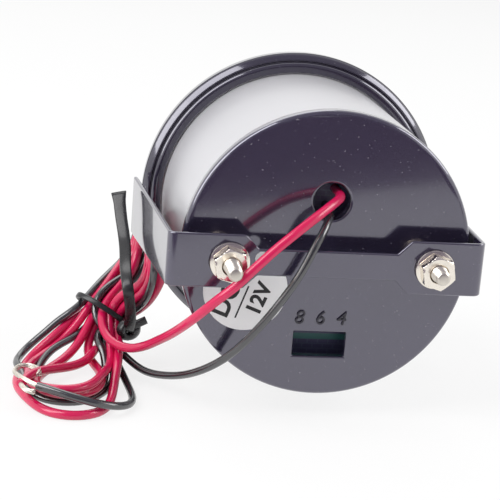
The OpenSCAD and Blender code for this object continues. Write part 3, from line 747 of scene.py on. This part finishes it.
def new_group(name, inputs, outputs):
    """New node group with its sockets, and its input and output nodes"""
    group = bpy.data.node_groups.new(name, "ShaderNodeTree")
    for label, kind, value in inputs:
        item = group.interface.new_socket(name=label, in_out="INPUT", socket_type="NodeSocket" + kind)
        item.default_value = value
    for label, kind in outputs:
        group.interface.new_socket(name=label, in_out="OUTPUT", socket_type="NodeSocket" + kind)
    return group, group.nodes.new("NodeGroupInput"), group.nodes.new("NodeGroupOutput")


def variation_group():
    """Node group: two colours mixed by soft noise, a roughness range and a fine bump"""
    group = bpy.data.node_groups.get("SurfaceVariation")
    if group:
        return group
    grey = (0.5, 0.5, 0.5, 1)
    group, given, out = new_group(
        "SurfaceVariation",
        [("Color A", "Color", grey), ("Color B", "Color", grey), ("Scale", "Float", 300),
         ("Rough Low", "Float", 0.3), ("Rough High", "Float", 0.4), ("Bump Scale", "Float", 2000),
         ("Bump", "Float", 0.1)],
        [("Color", "Color"), ("Roughness", "Float"), ("Normal", "Vector")])
    where = add_node(group, "TexCoord")
    broad = add_node(group, "TexNoise", {"Detail": 4})
    mix = add_node(group, "Mix", data_type="RGBA")
    rough = add_node(group, "MapRange")
    fine = add_node(group, "TexNoise", {"Detail": 3})
    bump = add_node(group, "Bump", {"Distance": BUMP_DEPTH})
    join_nodes(group, (where, "Object", broad, "Vector"), (given, "Scale", broad, "Scale"),
               (broad, "Fac", mix, "Factor"), (given, "Color A", mix, "A"), (given, "Color B", mix, "B"),
               (mix, "Result", out, "Color"), (broad, "Fac", rough, "Value"),
               (given, "Rough Low", rough, "To Min"), (given, "Rough High", rough, "To Max"),
               (rough, "Result", out, "Roughness"), (where, "Object", fine, "Vector"),
               (given, "Bump Scale", fine, "Scale"), (fine, "Fac", bump, "Height"),
               (given, "Bump", bump, "Strength"), (bump, "Normal", out, "Normal"))
    return group


def speck_group():
    """Node group: small pale specks of dust over a colour"""
    group = bpy.data.node_groups.get("DustSpecks")
    if group:
        return group
    group, given, out = new_group(
        "DustSpecks",
        [("Under", "Color", (0.02, 0.02, 0.02, 1)), ("Dust", "Color", (0.2, 0.19, 0.21, 1)),
         ("Scale", "Float", 1900), ("Least", "Float", 0.7)],
        [("Color", "Color")])
    where = add_node(group, "TexCoord")
    noise = add_node(group, "TexNoise", {"Detail": 1})
    over = add_node(group, "Math", operation="SUBTRACT")
    soft = add_node(group, "MapRange", {"From Max": 0.07})
    mix = add_node(group, "Mix", data_type="RGBA")
    join_nodes(group, (where, "Object", noise, "Vector"), (given, "Scale", noise, "Scale"),
               (noise, "Fac", over, 0), (given, "Least", over, 1), (over, 0, soft, "Value"),
               (soft, "Result", mix, "Factor"), (given, "Under", mix, "A"), (given, "Dust", mix, "B"),
               (mix, "Result", out, "Color"))
    return group


def finish(name, color, shade, scale, rough, bump=(2000, 0.1), constants=None, dust=None):
    """Material: a Principled shader fed by the variation group, with constants on its own sockets. The
    second colour is the first times shade, scale is the noise's, rough is a range, bump is a scale and a
    strength, and dust is a scale and how rare it is"""
    name = "finish_" + name
    material = bpy.data.materials.get(name)
    if material:
        return material
    material, tree, shader = new_material(name)
    values = {"Scale": scale, "Rough Low": rough[0], "Rough High": rough[1], "Bump Scale": bump[0],
              "Bump": bump[1]}
    if shade is None:
        shader.inputs["Base Color"].default_value = (*color[:3], 1)
    else:
        values["Color A"] = (*color[:3], 1)
        values["Color B"] = (*(c * shade for c in color[:3]), 1)
    vary = add_node(tree, "Group", values, name="Variation", node_tree=variation_group())
    join_nodes(tree, (vary, "Roughness", shader, "Roughness"), (vary, "Normal", shader, "Normal"))
    if dust:
        specks = add_node(tree, "Group", {"Scale": dust[0], "Least": dust[1]}, node_tree=speck_group())
        join_nodes(tree, (vary, "Color", specks, "Under"), (specks, "Color", shader, "Base Color"))
    elif shade is not None:
        join_nodes(tree, (vary, "Color", shader, "Base Color"))
    set_inputs(shader, constants or {})
    material.diffuse_color = (*color[:3], 1)
    return material


def gloss_black():
    """Gloss black enamel under a clear coat, with a little dust"""
    color = bpy.context.scene.voltmeter_finish.gloss_black
    coat = {"IOR": 2.0, "Specular Tint": GLOSS_TINT, "Coat Weight": 1.0, "Coat Roughness": 0.04}
    return finish("gloss_black", color, 0.8, 160, (0.1, 0.16), (900, 0.04), coat, DUST)


def painted_shade_black():
    """The enamel's colour made darker: painted shade, for parts of the same enamel"""
    return [c * 0.6 for c in bpy.context.scene.voltmeter_finish.gloss_black]


def nickel():
    """Nickel plate"""
    color = bpy.context.scene.voltmeter_finish.nickel
    return finish("nickel_plate", color, 0.88, 700, (0.12, 0.22), (2500, 0.12), METAL)


def black_ink():
    """Printing ink"""
    return finish("black_ink", (0.015, 0.015, 0.017), 0.7, 900, (0.4, 0.55), (3000, 0.05))


def clear_glass():
    """Clear lens that lets the lamps shine on the dial behind it"""
    material = finish("lens_glass", (1, 1, 1), None, 50, (0.0, 0.02), (40, 0.004),
                      {"Transmission Weight": 1.0, "IOR": 1.5})
    tree = material.node_tree
    clear = add_node(tree, "BsdfTransparent")
    mixed_surface(tree, any_ray(tree, "Shadow", "Diffuse"), tree.nodes["Principled BSDF"], clear)
    return material


def winding(name, direction):
    """Enamelled copper wire laid side by side along one axis"""
    material = finish(name, (0.62, 0.2, 0.07), 0.75, 700, (0.25, 0.4), (3000, 0.05), {"Metallic": 0.85})
    tree = material.node_tree
    where = add_node(tree, "TexCoord")
    turns = add_node(tree, "TexWave", {"Scale": 1500}, bands_direction=direction)
    bump = add_node(tree, "Bump", {"Strength": 0.8, "Distance": WINDING_DEPTH})
    join_nodes(tree, (where, "Object", turns, "Vector"), (turns, "Fac", bump, "Height"),
               (tree.nodes["Variation"], "Normal", bump, "Normal"),
               (bump, "Normal", tree.nodes["Principled BSDF"], "Normal"))
    return material


def board_painted_light():
    """Board with faint tracks, its colours painted lighter than the dark board to make up for the shade in
    the setting slot, and a teal strip in a height band across the upper part of the slot
    """
    # Base colour painted lighter than the real board: painted light for the shaded slot
    material = finish("board_painted_light", (0.09, 0.085, 0.19), 0.8, 300, (0.3, 0.4), (1500, 0.1))
    tree = material.node_tree
    vary = tree.nodes["Variation"]
    middle, half = BOARD_STRIP
    where = add_node(tree, "TexCoord")
    turn = add_node(tree, "Mapping", {"Rotation": (math.pi / 2, 0, 0)})
    tracks = add_node(tree, "TexBrick", {"Scale": 260, "Mortar Size": 0.03, "Mortar": TRACK_COLOR})
    height = add_node(tree, "SeparateXYZ")
    off = add_node(tree, "Math", {1: middle}, operation="SUBTRACT")
    away = add_node(tree, "Math", operation="ABSOLUTE")
    strip = add_node(tree, "MapRange", {"From Min": half + STRIP_EDGE, "From Max": half - STRIP_EDGE})
    mix = add_node(tree, "Mix", {"B": STRIP_COLOR}, data_type="RGBA")
    join_nodes(tree, (where, "Object", turn, "Vector"), (turn, "Vector", tracks, "Vector"),
               (vary, "Color", tracks, "Color1"), (vary, "Color", tracks, "Color2"),
               (where, "Object", height, "Vector"), (height, "Z", off, 0), (off, 0, away, 0),
               (away, 0, strip, "Value"), (strip, "Result", mix, "Factor"), (tracks, "Color", mix, "A"),
               (mix, "Result", tree.nodes["Principled BSDF"], "Base Color"))
    return material


def dress(node, material):
    """Gives a carried-over node a material"""
    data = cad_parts[node].data
    data.materials.clear()
    data.materials.append(material)


def softened(name, node, width, material, body=CASE, crisp=()):
    """Copy of a node's shape with its sharp edges rounded, which stands for the node; the edges of the holes
    given by x, z and radius stay crisp"""
    shape = bmesh.new()
    shape.from_mesh(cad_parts[node].data)
    bmesh.ops.remove_doubles(shape, verts=shape.verts, dist=MERGE)
    bmesh.ops.dissolve_limit(shape, angle_limit=math.radians(FLAT_ANGLE), verts=shape.verts,
                             edges=shape.edges)
    sharp = []
    for edge in shape.edges:
        middle = (edge.verts[0].co + edge.verts[1].co) / 2 / MM
        in_hole = any(math.hypot(middle.x - x, middle.z - z) < radius for x, z, radius in crisp)
        if edge.is_manifold and not in_hole and edge.calc_face_angle() > math.radians(SHARP_ANGLE):
            sharp.append(edge)
    bmesh.ops.bevel(shape, geom=sharp, offset=width * MM, segments=3, profile=0.5, affect="EDGES",
                    clamp_overlap=False)
    data = bpy.data.meshes.new(name)
    shape.to_mesh(data)
    shape.free()
    data.materials.append(material)
    normals = np.zeros((len(data.vertices), 3))
    for face in data.polygons:
        face.use_smooth = True
        normals[list(face.vertices)] += np.array(face.normal) * face.area
    normals /= lengths(normals) + TINY
    data.normals_split_custom_set_from_vertices([tuple(n) for n in normals])
    piece = new_object(name, data, body)
    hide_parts(node)


def letters(text, size, depth=PRINT_T, bold=0.0, slant=0.0):
    """Points and faces of a centred line of text, in metres, from sizes in millimetres"""
    data = bpy.data.curves.new("letters", "FONT")
    data.body = text
    data.size = size * MM
    data.extrude = depth * MM / 2
    data.offset = bold * MM
    data.shear = slant
    data.align_x = "CENTER"
    data.align_y = "CENTER"
    data.resolution_u = 4
    holder = bpy.data.objects.new("letters", data)
    shape = bpy.data.meshes.new_from_object(holder)
    verts = np.array([v.co[:] for v in shape.vertices])
    faces = [tuple(face.vertices) for face in shape.polygons]
    bpy.data.objects.remove(holder)
    bpy.data.curves.remove(data)
    bpy.data.meshes.remove(shape)
    return verts, faces


def line_shape(a, b, width):
    """Straight printed line between two points, as a thin slab"""
    a, b = np.array(a, dtype=float), np.array(b, dtype=float)
    side = np.array((a[1] - b[1], b[0] - a[0])) / np.linalg.norm(b - a) * width / 2
    outline = [a - side, b - side, b + side, a + side]
    verts = [(x * MM, y * MM, z * PRINT_T * MM) for z in (-0.5, 0.5) for x, y in outline]
    faces = [(3, 2, 1, 0), (4, 5, 6, 7)] + [(i, (i + 1) % 4, 4 + (i + 1) % 4, 4 + i) for i in range(4)]
    return np.array(verts), faces


def laid_on(shape, centre, out, turn=0.0):
    """Flat shape turned and laid on a face that looks along +Y (out 1) or -Y (out -1)"""
    verts, faces = shape
    c, s = math.cos(turn), math.sin(turn)
    x = verts[:, 0] * c - verts[:, 1] * s
    y = verts[:, 0] * s + verts[:, 1] * c
    places = (centre[0] * MM - out * x, centre[1] * MM + out * verts[:, 2], centre[2] * MM + y)
    return np.column_stack(places), faces


def dial_arc(radius, width, start, end, face):
    """Printed arc on the dial face"""
    angles = np.linspace(start, end, ARC_POINTS)
    path = np.column_stack((radius * np.cos(angles), np.full(ARC_POINTS, face), radius * np.sin(angles)))
    x, y = width / 2 * MM, PRINT_T / 2 * MM
    section = [(-x, -y), (x, -y), (x, y), (-x, y)]
    return sweep(mm(path), section, side=(math.cos(start), 0, math.sin(start)))


class VOLTMETER_OT_leads(Operator):
    """Red and black lead, from the cover to their bare ends, with the tied hank"""

    bl_idname = "voltmeter.leads"
    bl_label = "Leads"

    def execute(self, context):
        size = context.scene.voltmeter_leads
        look = context.scene.voltmeter_finish
        routes = [wire_route(RED_LEAD, RED_TURNS, RED_WAIST, RED_FOLDS),
                  wire_route(BLACK_LEAD, BLACK_TURNS, BLACK_WAIST, BLACK_FOLDS)]
        halves = (size.red_d / 2 / MM, size.black_d / 2 / MM)
        lines = settle(routes, [RED_LEAD, BLACK_LEAD], size.settle_steps, halves)
        kinds = [
            ("red", look.red, 1.62, lines[0], RED_EXIT, size.red_length, size.red_d,
             ("red_lead", "wire_hank")),
            ("black", look.black, 2.0, lines[1], BLACK_EXIT, size.black_length, size.black_d,
             ("black_lead",)),
        ]
        for kind, color, gloss, line, leaves, length, thick, nodes in kinds:
            name = kind + "_wire"
            data = bpy.data.curves.new(name, "CURVE")
            data.dimensions = "3D"
            line = catmull(line, WIRE_STEP)
            spline = data.splines.new("POLY")
            spline.points.add(len(line) - 1)
            for point, place in zip(spline.points, line):
                point.co = (*(place * MM), 1)
            data.bevel_depth = thick / 2
            data.bevel_resolution = 4
            data.use_fill_caps = True
            data.materials.append(finish(name, color, 0.82, 90, (0.12, 0.2), (1500, 0.05), {"IOR": gloss}))
            piece = new_object(name, data)
            for node in nodes:
                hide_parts(node)
        return {"FINISHED"}


class VOLTMETER_OT_tie(Operator):
    """Flat tie with a wire core round the waist of the hank"""

    bl_idname = "voltmeter.tie"
    bl_label = "Tie"

    def execute(self, context):
        flat = oval(*TIE_SECTION)
        tail = catmull(mm(TIE_TAIL), TAIL_STEP * MM)
        along = np.linspace(0, 1, len(tail))
        swell = np.column_stack((np.interp(along, *TAIL_WIDTH), np.interp(along, *TAIL_THICK)))
        parts = [sweep(tail, flat, side=(1, 0, 0.2), scale=swell)]
        ring = [TIE_AT + ACROSS * TIE_HALF[0] * math.cos(a) + DEEP * TIE_HALF[1] * math.sin(a)
                for a in np.linspace(*RING_ENDS, RING_POINTS)]
        parts.append(sweep(mm(ring), scaled(flat, *RING_SCALE), side=tuple(np.cross(ACROSS, DEEP))))
        low, high = KNOT
        for start in (0, math.pi):
            turn = np.linspace(0, KNOT_TURN, KNOT_POINTS) + start
            line = low + (high - low) * np.linspace(0, 1, KNOT_POINTS)[:, None]
            line = line + np.outer(np.cos(turn), KNOT_SWING[0]) + np.outer(np.sin(turn), KNOT_SWING[1])
            parts.append(sweep(mm(line), scaled(flat, *KNOT_SCALE)))
        stub = catmull(mm(TIE_STUB), STUB_STEP * MM)
        parts.append(sweep(stub, scaled(flat, *STUB_SCALE), side=(0, 0.4, 1)))
        strip = finish("tie_strip", (0.016, 0.016, 0.019), 0.7, 500, (0.2, 0.32), (1600, 0.2))
        add_piece("tie_strip", parts, strip, "twist_tie", sharp=180)
        return {"FINISHED"}


class VOLTMETER_OT_wire_ends(Operator):
    """Tinned bare strands at the far ends of the leads"""

    bl_idname = "voltmeter.wire_ends"
    bl_label = "Wire ends"

    def execute(self, context):
        tinned = finish("tinned_strands", (0.8, 0.76, 0.68), 0.7, 900, (0.25, 0.4), (4000, 0.15), METAL)
        round_wire = oval(STRAND_R, STRAND_R, STRAND_SIDES)
        for name, node, route in BARE_ENDS:
            parts = []
            line = catmull(route, STRAND_STEP)
            side, third = frames_along(line, (0, 0, 1))
            t = np.linspace(0, 1, len(line))
            for k in range(STRANDS):
                ring = STRAND_RING if k else 0.0
                turn = t * len(line) * STRAND_TWIST + k * math.pi / 4
                uneven = 2 * k % 5 / 4
                spread = ring * (1 + STRAND_SPLAY * t ** 2 * uneven)
                strand = (line + side * (spread * np.cos(turn))[:, None]
                          + third * (spread * np.sin(turn))[:, None])
                parts.append(sweep(mm(strand), round_wire))
            add_piece(name, parts, tinned, node, sharp=180)
        return {"FINISHED"}


class VOLTMETER_OT_case(Operator):
    """Bezel, lens, can, rear cover and clamp bracket"""

    bl_idname = "voltmeter.case"
    bl_label = "Case"

    def execute(self, context):
        # The bezel's enamel is a darker copy of the cover's: painted shade that offsets the extra reflection
        # of its stronger coat
        enamel = finish("bezel_enamel_painted_shade", painted_shade_black(), 0.8, 160, (0.1, 0.16), (900, 0.03),
                        {"IOR": 1.8, "Specular Tint": GLOSS_TINT, "Coat Weight": 1.0}, DUST)
        ring = lathe(bezel_profile(), BEZEL_SIDES)
        add_piece("bezel_ring", [ring], enamel, "bezel", sharp=40)
        softened("cover_plate", "rear_cover", EDGE_ROUND, gloss_black())
        holes = [(s * STUD_X, 0, HOLE_RIM) for s in BOTH] + [EARTH_HOLE]
        softened("clamp_bracket", "bracket", EDGE_ROUND, gloss_black(), crisp=holes)
        bright = context.scene.voltmeter_finish.can_metal
        dress("can", finish("can_sheet", bright, 0.97, 60, (0.26, 0.32), (1200, 0.03), {"Metallic": 0.25}))
        disc = lathe(lens_profile(), LENS_SIDES)
        add_piece("lens_disc", [disc], clear_glass(), "lens", sharp=12)
        dress("lens_gasket", finish("gasket_rubber", (0.025, 0.025, 0.025), 0.8, 300, (0.7, 0.85)))
        return {"FINISHED"}


class VOLTMETER_OT_fasteners(Operator):
    """Threaded studs, nuts and washers"""

    bl_idname = "voltmeter.fasteners"
    bl_label = "Fasteners"

    def execute(self, context):
        base = in_mm("studs")[0][1]
        head = base + STUD_HEAD_H
        rows = [base, base + HEAD_EDGE, head - HEAD_EDGE, head, head + HEAD_STEP, COVER_Y]
        first, last = THREAD_ENDS
        rows += list(np.arange(COVER_Y + first, STUD_TIP - last, THREAD_PITCH / THREAD_ROWS))
        rows += [STUD_TIP - left for left in TIP_ROWS]

        def stud_radius(y, a, short=0.0):
            """Radius of a stud with its head, thread and rounded tip"""
            if y <= head:
                return STUD_HEAD_R - HEAD_EDGE * (y in (base, head))
            cut = abs(((y / THREAD_PITCH - a / (2 * math.pi)) % 1) * 2 - 1)
            start = min(1.0, max(0.0, (y - COVER_Y) / THREAD_PITCH))
            tip = STUD_R - STUD_TAPER + math.sqrt(max(0.0, STUD_TIP - short - y)) * STUD_TAPER
            point = STUD_R if y < POINT_Y else POINT_R
            return min(point - THREAD_DEPTH * cut * start, tip)

        squat = [y - SHORT_STUD * max(0.0, (y - POINT_Y) / (STUD_TIP - POINT_Y)) for y in rows]
        studs = [turned(squat, lambda y, a: stud_radius(y, a, SHORT_STUD), STUD_SIDES, (-STUD_X, 0)),
                 turned(rows, stud_radius, STUD_SIDES, (STUD_X, 0))]
        # The studs take a darker copy of the nickel: painted shade of their threads
        shaded_nickel = [c * 0.8 for c in context.scene.voltmeter_finish.nickel]
        thread = finish("stud_plate_painted_shade", shaded_nickel, 0.8, 900, (0.26, 0.38), (2500, 0.15), METAL)
        add_piece("threaded_studs", studs, thread, "studs", sharp=40)
        washer_y = BRACKET_IN + BRACKET_T
        nut_y = washer_y + WASHER_T
        rim = [(r, washer_y + y) for r, y in WASHER_RIM]
        cover_nuts = [nut(COVER_Y, COVER_NUT_H, s * STUD_X) for s in BOTH]
        washers = [lathe(rim, WASHER_SIDES, (s * STUD_X, 0)) for s in BOTH]
        bracket_nuts = [nut(nut_y, NUT_H, s * STUD_X) for s in BOTH]
        for name, node, shapes in (("cover_hex_nuts", "cover_nuts", cover_nuts),
                                   ("flat_washers", "bracket_washers", washers),
                                   ("bracket_hex_nuts", "bracket_nuts", bracket_nuts)):
            add_piece(name, shapes, nickel(), node, sharp=30)
        return {"FINISHED"}


class VOLTMETER_OT_labels(Operator):
    """Paper sticker with its print, and the figures moulded beside the setting slot"""

    bl_idname = "voltmeter.labels"
    bl_label = "Labels"

    def execute(self, context):
        dress("sticker", finish("sticker_paper", (0.87, 0.87, 0.88), 0.95, 500, (0.45, 0.6), (2500, 0.15)))
        top = COVER_Y + STICKER_T
        parts = [laid_on(letters(text, size, bold=STICKER_BOLD), (x, top, z), 1, STICKER_SLOPE)
                 for text, size, x, z in STICKER_WORDS]
        parts.append(laid_on(line_shape(*STICKER_RULE), (0, top, 0), 1))
        add_piece("sticker_print", parts, black_ink())
        parts = [laid_on(letters(text, **COVER_FIGURE), (x, COVER_Y, COVER_FIGURE_Z), 1)
                 for text, x in COVER_FIGURES]
        # The moulded figures take a darker copy of the cover's enamel: painted shade of their relief
        shaded_figure = finish("figure_painted_shade", painted_shade_black(), 0.8, 900, (0.25, 0.4), (2500, 0.2), {"IOR": 1.6})
        add_piece("cover_figures", parts, shaded_figure)
        return {"FINISHED"}


class VOLTMETER_OT_dial(Operator):
    """Dial face with its scale, dial ring, pointer and cap"""

    bl_idname = "voltmeter.dial"
    bl_label = "Dial"

    def execute(self, context):
        dial = context.scene.voltmeter_dial
        dress("dial_face", finish("dial_paint", dial.face, 0.96, 400, (0.4, 0.5), (2500, 0.06)))
        satin = finish("satin_black", (0.018, 0.018, 0.02), 0.75, 400, (0.35, 0.48), (2200, 0.2))
        softened("dial_collar", "dial_ring", 0.2, satin)
        softened("pointer_cap_dome", "pointer_cap", 0.4, satin, MOVEMENT)
        lacquer = finish("pointer_lacquer", dial.needle, 0.88, 500, (0.3, 0.4), (2000, 0.08))
        softened("pointer_blade", "pointer", 0.12, lacquer, MOVEMENT)
        for node in ("dial_screws", "stop_pins"):
            dress(node, nickel())
        face = in_mm("dial_face")[0][1]
        volts = dial.highest - dial.lowest
        scale_end = SCALE_START - dial.sweep
        parts = []
        for step in range(int(round(volts * 2)) + 1):
            value = dial.lowest + step / 2
            a = SCALE_START - dial.sweep * (value - dial.lowest) / volts
            inner, width = TICKS[math.gcd(step, 4)]
            parts.append(laid_on(line_shape((inner, 0), (TICK_OUT, 0), width), (0, face, 0), -1, a))
            if step % 4 == 0:
                place = (DIAL_FIGURE_AT[0] * math.cos(a), face, DIAL_FIGURE_AT[1] * math.sin(a))
                parts.append(laid_on(letters("%d" % round(value), DIAL_FIGURE), place, -1))
        word, size, z = DIAL_WORD
        parts.append(laid_on(letters(word, size), (0, face, z), -1))
        parts.append(dial_arc(*SCALE_LINE, scale_end, SCALE_START, face))
        add_piece("dial_scale", parts, black_ink())
        band = dial_arc(*RED_BAND, scale_end, SCALE_START - dial.sweep * RED_BAND_FROM, face + RED_BAND_UNDER)
        add_piece("dial_warning_arc", [band], lacquer)
        return {"FINISHED"}


class VOLTMETER_OT_movement(Operator):
    """Finishes of the crossed-coil movement, the light chamber and the board with its parts"""

    bl_idname = "voltmeter.movement"
    bl_label = "Movement"

    def execute(self, context):
        nylon = finish("bobbin_nylon", (0.72, 0.68, 0.56), 0.92, 300, (0.4, 0.52), (1800, 0.15))
        epoxy = finish("black_epoxy", (0.02, 0.02, 0.022), 0.7, 700, (0.5, 0.65), (2600, 0.4))
        table = {
            "spindle": finish("bright_steel", (0.6, 0.6, 0.62), 0.85, 900, (0.2, 0.32), (3000, 0.1), METAL),
            "rotor_magnet": finish("magnet_ferrite", (0.06, 0.058, 0.056), 0.6, 1200, (0.55, 0.7),
                                   (2600, 0.5)),
            "bobbin_front": nylon,
            "bobbin_rear": nylon,
            "coil_sine": winding("coil_wire_across", "Z"),
            "coil_cosine": winding("coil_wire_upright", "X"),
            "shield_cup": finish("shield_steel", (0.42, 0.42, 0.44), 0.85, 500, (0.3, 0.45), (1500, 0.15),
                                 METAL),
            "movement_pins": finish("pin_brass", (0.7, 0.5, 0.2), 0.85, 900, (0.2, 0.3), (2500, 0.1), METAL),
            "solder_joints": finish("solder", (0.66, 0.66, 0.68), 0.8, 1500, (0.2, 0.4), (2500, 0.3), METAL),
            "light_chamber": finish("chamber_white", (0.82, 0.82, 0.8), 0.95, 200, (0.4, 0.5), (1500, 0.1)),
            "circuit_board": board_painted_light(),
            "led_lamps": finish("lamp_epoxy", (0.95, 0.96, 0.98), None, 200, (0.05, 0.12), (600, 0.05),
                                {"Transmission Weight": 0.9, "IOR": 1.5}),
            "driver_chip": epoxy,
            "diode": epoxy,
            "capacitor": finish("capacitor_sleeve", (0.02, 0.03, 0.09), 0.8, 500, (0.3, 0.4), (1500, 0.15)),
            "resistors": finish("resistor_ceramic", (0.09, 0.1, 0.12), 0.6, 1500, (0.35, 0.5), (3000, 0.2)),
        }
        for node, material in table.items():
            dress(node, material)
        return {"FINISHED"}


def seen_rays(tree):
    """Node that gives 1 for what the camera sees, straight, mirrored or through glass"""
    return any_ray(tree, "Camera", "Glossy", "Transmission")


def pale_floor():
    """Pale floor that keeps the object's shadow and is white to the camera"""
    material, tree, shader = new_material("pale_floor")
    set_inputs(shader, {"Base Color": FLOOR_COLOR, "Roughness": 0.9, "Specular IOR Level": 0.0})
    white = add_node(tree, "Emission")
    amount = add_node(tree, "Math", {1: FLOOR_WHITE}, operation="MULTIPLY")
    join_nodes(tree, (seen_rays(tree), 0, amount, 0))
    mixed_surface(tree, amount, shader, white)
    return material


def flag_cloth(name, along, start, full, color):
    """Dark cloth that only reflections show, with a soft edge"""
    material, tree, shader = new_material(name)
    tree.nodes.remove(shader)
    path = add_node(tree, "LightPath")
    where = add_node(tree, "TexCoord")
    slant = add_node(tree, "VectorMath", {1: along}, operation="DOT_PRODUCT")
    edge = add_node(tree, "MapRange", {"From Min": start, "From Max": full}, interpolation_type="SMOOTHSTEP")
    shown = add_node(tree, "Math", operation="MULTIPLY")
    clear = add_node(tree, "BsdfTransparent")
    cloth = add_node(tree, "Emission", {"Color": color})
    join_nodes(tree, (where, "Object", slant, 0), (slant, "Value", edge, "Value"), (edge, "Result", shown, 0),
               (path, "Is Glossy Ray", shown, 1))
    mixed_surface(tree, shown, clear, cloth)
    return material


def level_sheet(low, high, height):
    """Corners of a level sheet"""
    return [(low[0], low[1], height), (high[0], low[1], height), (high[0], high[1], height),
            (low[0], high[1], height)]


def stage_sheet(name, corners, material):
    """Flat sheet of the stage"""
    data = bpy.data.meshes.new(name)
    data.from_pydata(corners, [], [(0, 1, 2, 3)])
    data.materials.append(material)
    sheet = bpy.data.objects.new(name, data)
    bpy.context.scene.collection.objects.link(sheet)


def stage_holder(name, data, x, y, z, at):
    """Lamp or camera with three axes and a place"""
    holder = bpy.data.objects.new(name, data)
    holder.matrix_world = Matrix.Translation(at) @ Matrix((x, y, z)).transposed().to_4x4()
    bpy.context.scene.collection.objects.link(holder)
    return holder


class VOLTMETER_OT_stage(Operator):
    """Floor, cloths, lamps, world and camera"""

    bl_idname = "voltmeter.stage"
    bl_label = "Stage"

    def execute(self, context):
        stage = context.scene.voltmeter_stage
        scene = context.scene
        floor = level_sheet((-FLOOR_HALF, -FLOOR_HALF), (FLOOR_HALF, FLOOR_HALF), FLOOR_Z * MM)
        stage_sheet("floor", floor, pale_floor())
        slanted = flag_cloth("flag_cloth", FLAG_ALONG, stage.flag_start, stage.flag_full, FLAG_COLOR)
        stage_sheet("flag", level_sheet(*FLAG_CORNERS, FLAG_Z), slanted)
        ceiling = level_sheet((-ROOM_HALF, ROOM_NEAR), (ROOM_HALF, ROOM_FAR), ROOM_TOP)
        stage_sheet("ceiling", ceiling, flag_cloth("ceiling_cloth", *ROOM_EDGE, CEILING_COLOR))
        wall = [(x, ROOM_FAR, z) for x, z in ((-ROOM_HALF, FLOOR_Z * MM), (ROOM_HALF, FLOOR_Z * MM),
                                              (ROOM_HALF, ROOM_TOP), (-ROOM_HALF, ROOM_TOP))]
        stage_sheet("far_wall", wall, flag_cloth("room_cloth", *ROOM_EDGE, WALL_COLOR))

        world = bpy.data.worlds.new("studio")
        world.use_nodes = True
        scene.world = world
        tree = world.node_tree
        back = tree.nodes["Background"]
        back.inputs["Color"].default_value = (1, 1, 1, 1)
        level = add_node(tree, "MapRange", {"To Min": stage.ambient, "To Max": 1.0})
        join_nodes(tree, (seen_rays(tree), 0, level, "Value"), (level, "Result", back, "Strength"))

        for name, place, along, extent, power in LAMPS:
            lamp = bpy.data.lights.new(name, "AREA")
            lamp.shape = "RECTANGLE"
            lamp.size, lamp.size_y = extent
            lamp.energy = stage.key_power if power is None else power
            away = Vector(place).normalized()
            across = Vector(along)
            across = (across - away * across.dot(away)).normalized()
            stage_holder(name, lamp, across, away.cross(across), away, Vector(place))

        camera = bpy.data.cameras.new("camera")
        camera.lens = stage.lens
        camera.sensor_width = SENSOR
        camera.clip_start = NEAR_CLIP
        eye = Vector(mm(EYE))
        forward = (AIM - eye).normalized()
        right = forward.cross(Vector((0, 0, 1))).normalized()
        up = right.cross(forward)
        c, s = math.cos(stage.roll), math.sin(stage.roll)
        right, up = right * c + up * s, up * c - right * s
        scene.camera = stage_holder("camera", camera, right, up, -forward, eye)
        scene.view_settings.view_transform = "Standard"
        return {"FINISHED"}


class VOLTMETER_PT_panel(Panel):
    """Sidebar panel with the sizes and the builders"""

    bl_idname = "VOLTMETER_PT_panel"
    bl_label = "Voltmeter"
    bl_space_type = "VIEW_3D"
    bl_region_type = "UI"
    bl_category = "Voltmeter"

    def draw(self, context):
        layout = self.layout
        scene = context.scene
        for group in GROUPS:
            box = layout.box()
            for name in GROUPS[group].__annotations__:
                box.prop(getattr(scene, group), name)
        for operator in OPERATORS:
            layout.operator(operator.bl_idname)


GROUPS = {
    "voltmeter_leads": VoltmeterLeads,
    "voltmeter_finish": VoltmeterFinish,
    "voltmeter_dial": VoltmeterDial,
    "voltmeter_stage": VoltmeterStage,
}
OPERATORS = (VOLTMETER_OT_leads, VOLTMETER_OT_tie, VOLTMETER_OT_wire_ends, VOLTMETER_OT_case,
             VOLTMETER_OT_fasteners, VOLTMETER_OT_labels, VOLTMETER_OT_dial, VOLTMETER_OT_movement,
             VOLTMETER_OT_stage)
CLASSES = (*GROUPS.values(), *OPERATORS, VOLTMETER_PT_panel)


def register():
    """Registers the classes and hangs the property groups on the scene"""
    for cls in CLASSES:
        bpy.utils.register_class(cls)
    for name, group in GROUPS.items():
        setattr(bpy.types.Scene, name, PointerProperty(type=group))


def unregister():
    """Takes away what register added"""
    for name in GROUPS:
        delattr(bpy.types.Scene, name)
    for cls in reversed(CLASSES):
        bpy.utils.unregister_class(cls)


def main():
    """Builds the stage and every piece"""
    register()
    bpy.ops.voltmeter.stage()
    bpy.ops.voltmeter.leads()
    bpy.ops.voltmeter.tie()
    bpy.ops.voltmeter.wire_ends()
    bpy.ops.voltmeter.case()
    bpy.ops.voltmeter.fasteners()
    bpy.ops.voltmeter.labels()
    bpy.ops.voltmeter.dial()
    bpy.ops.voltmeter.movement()


if __name__ == "__main__":
    main()
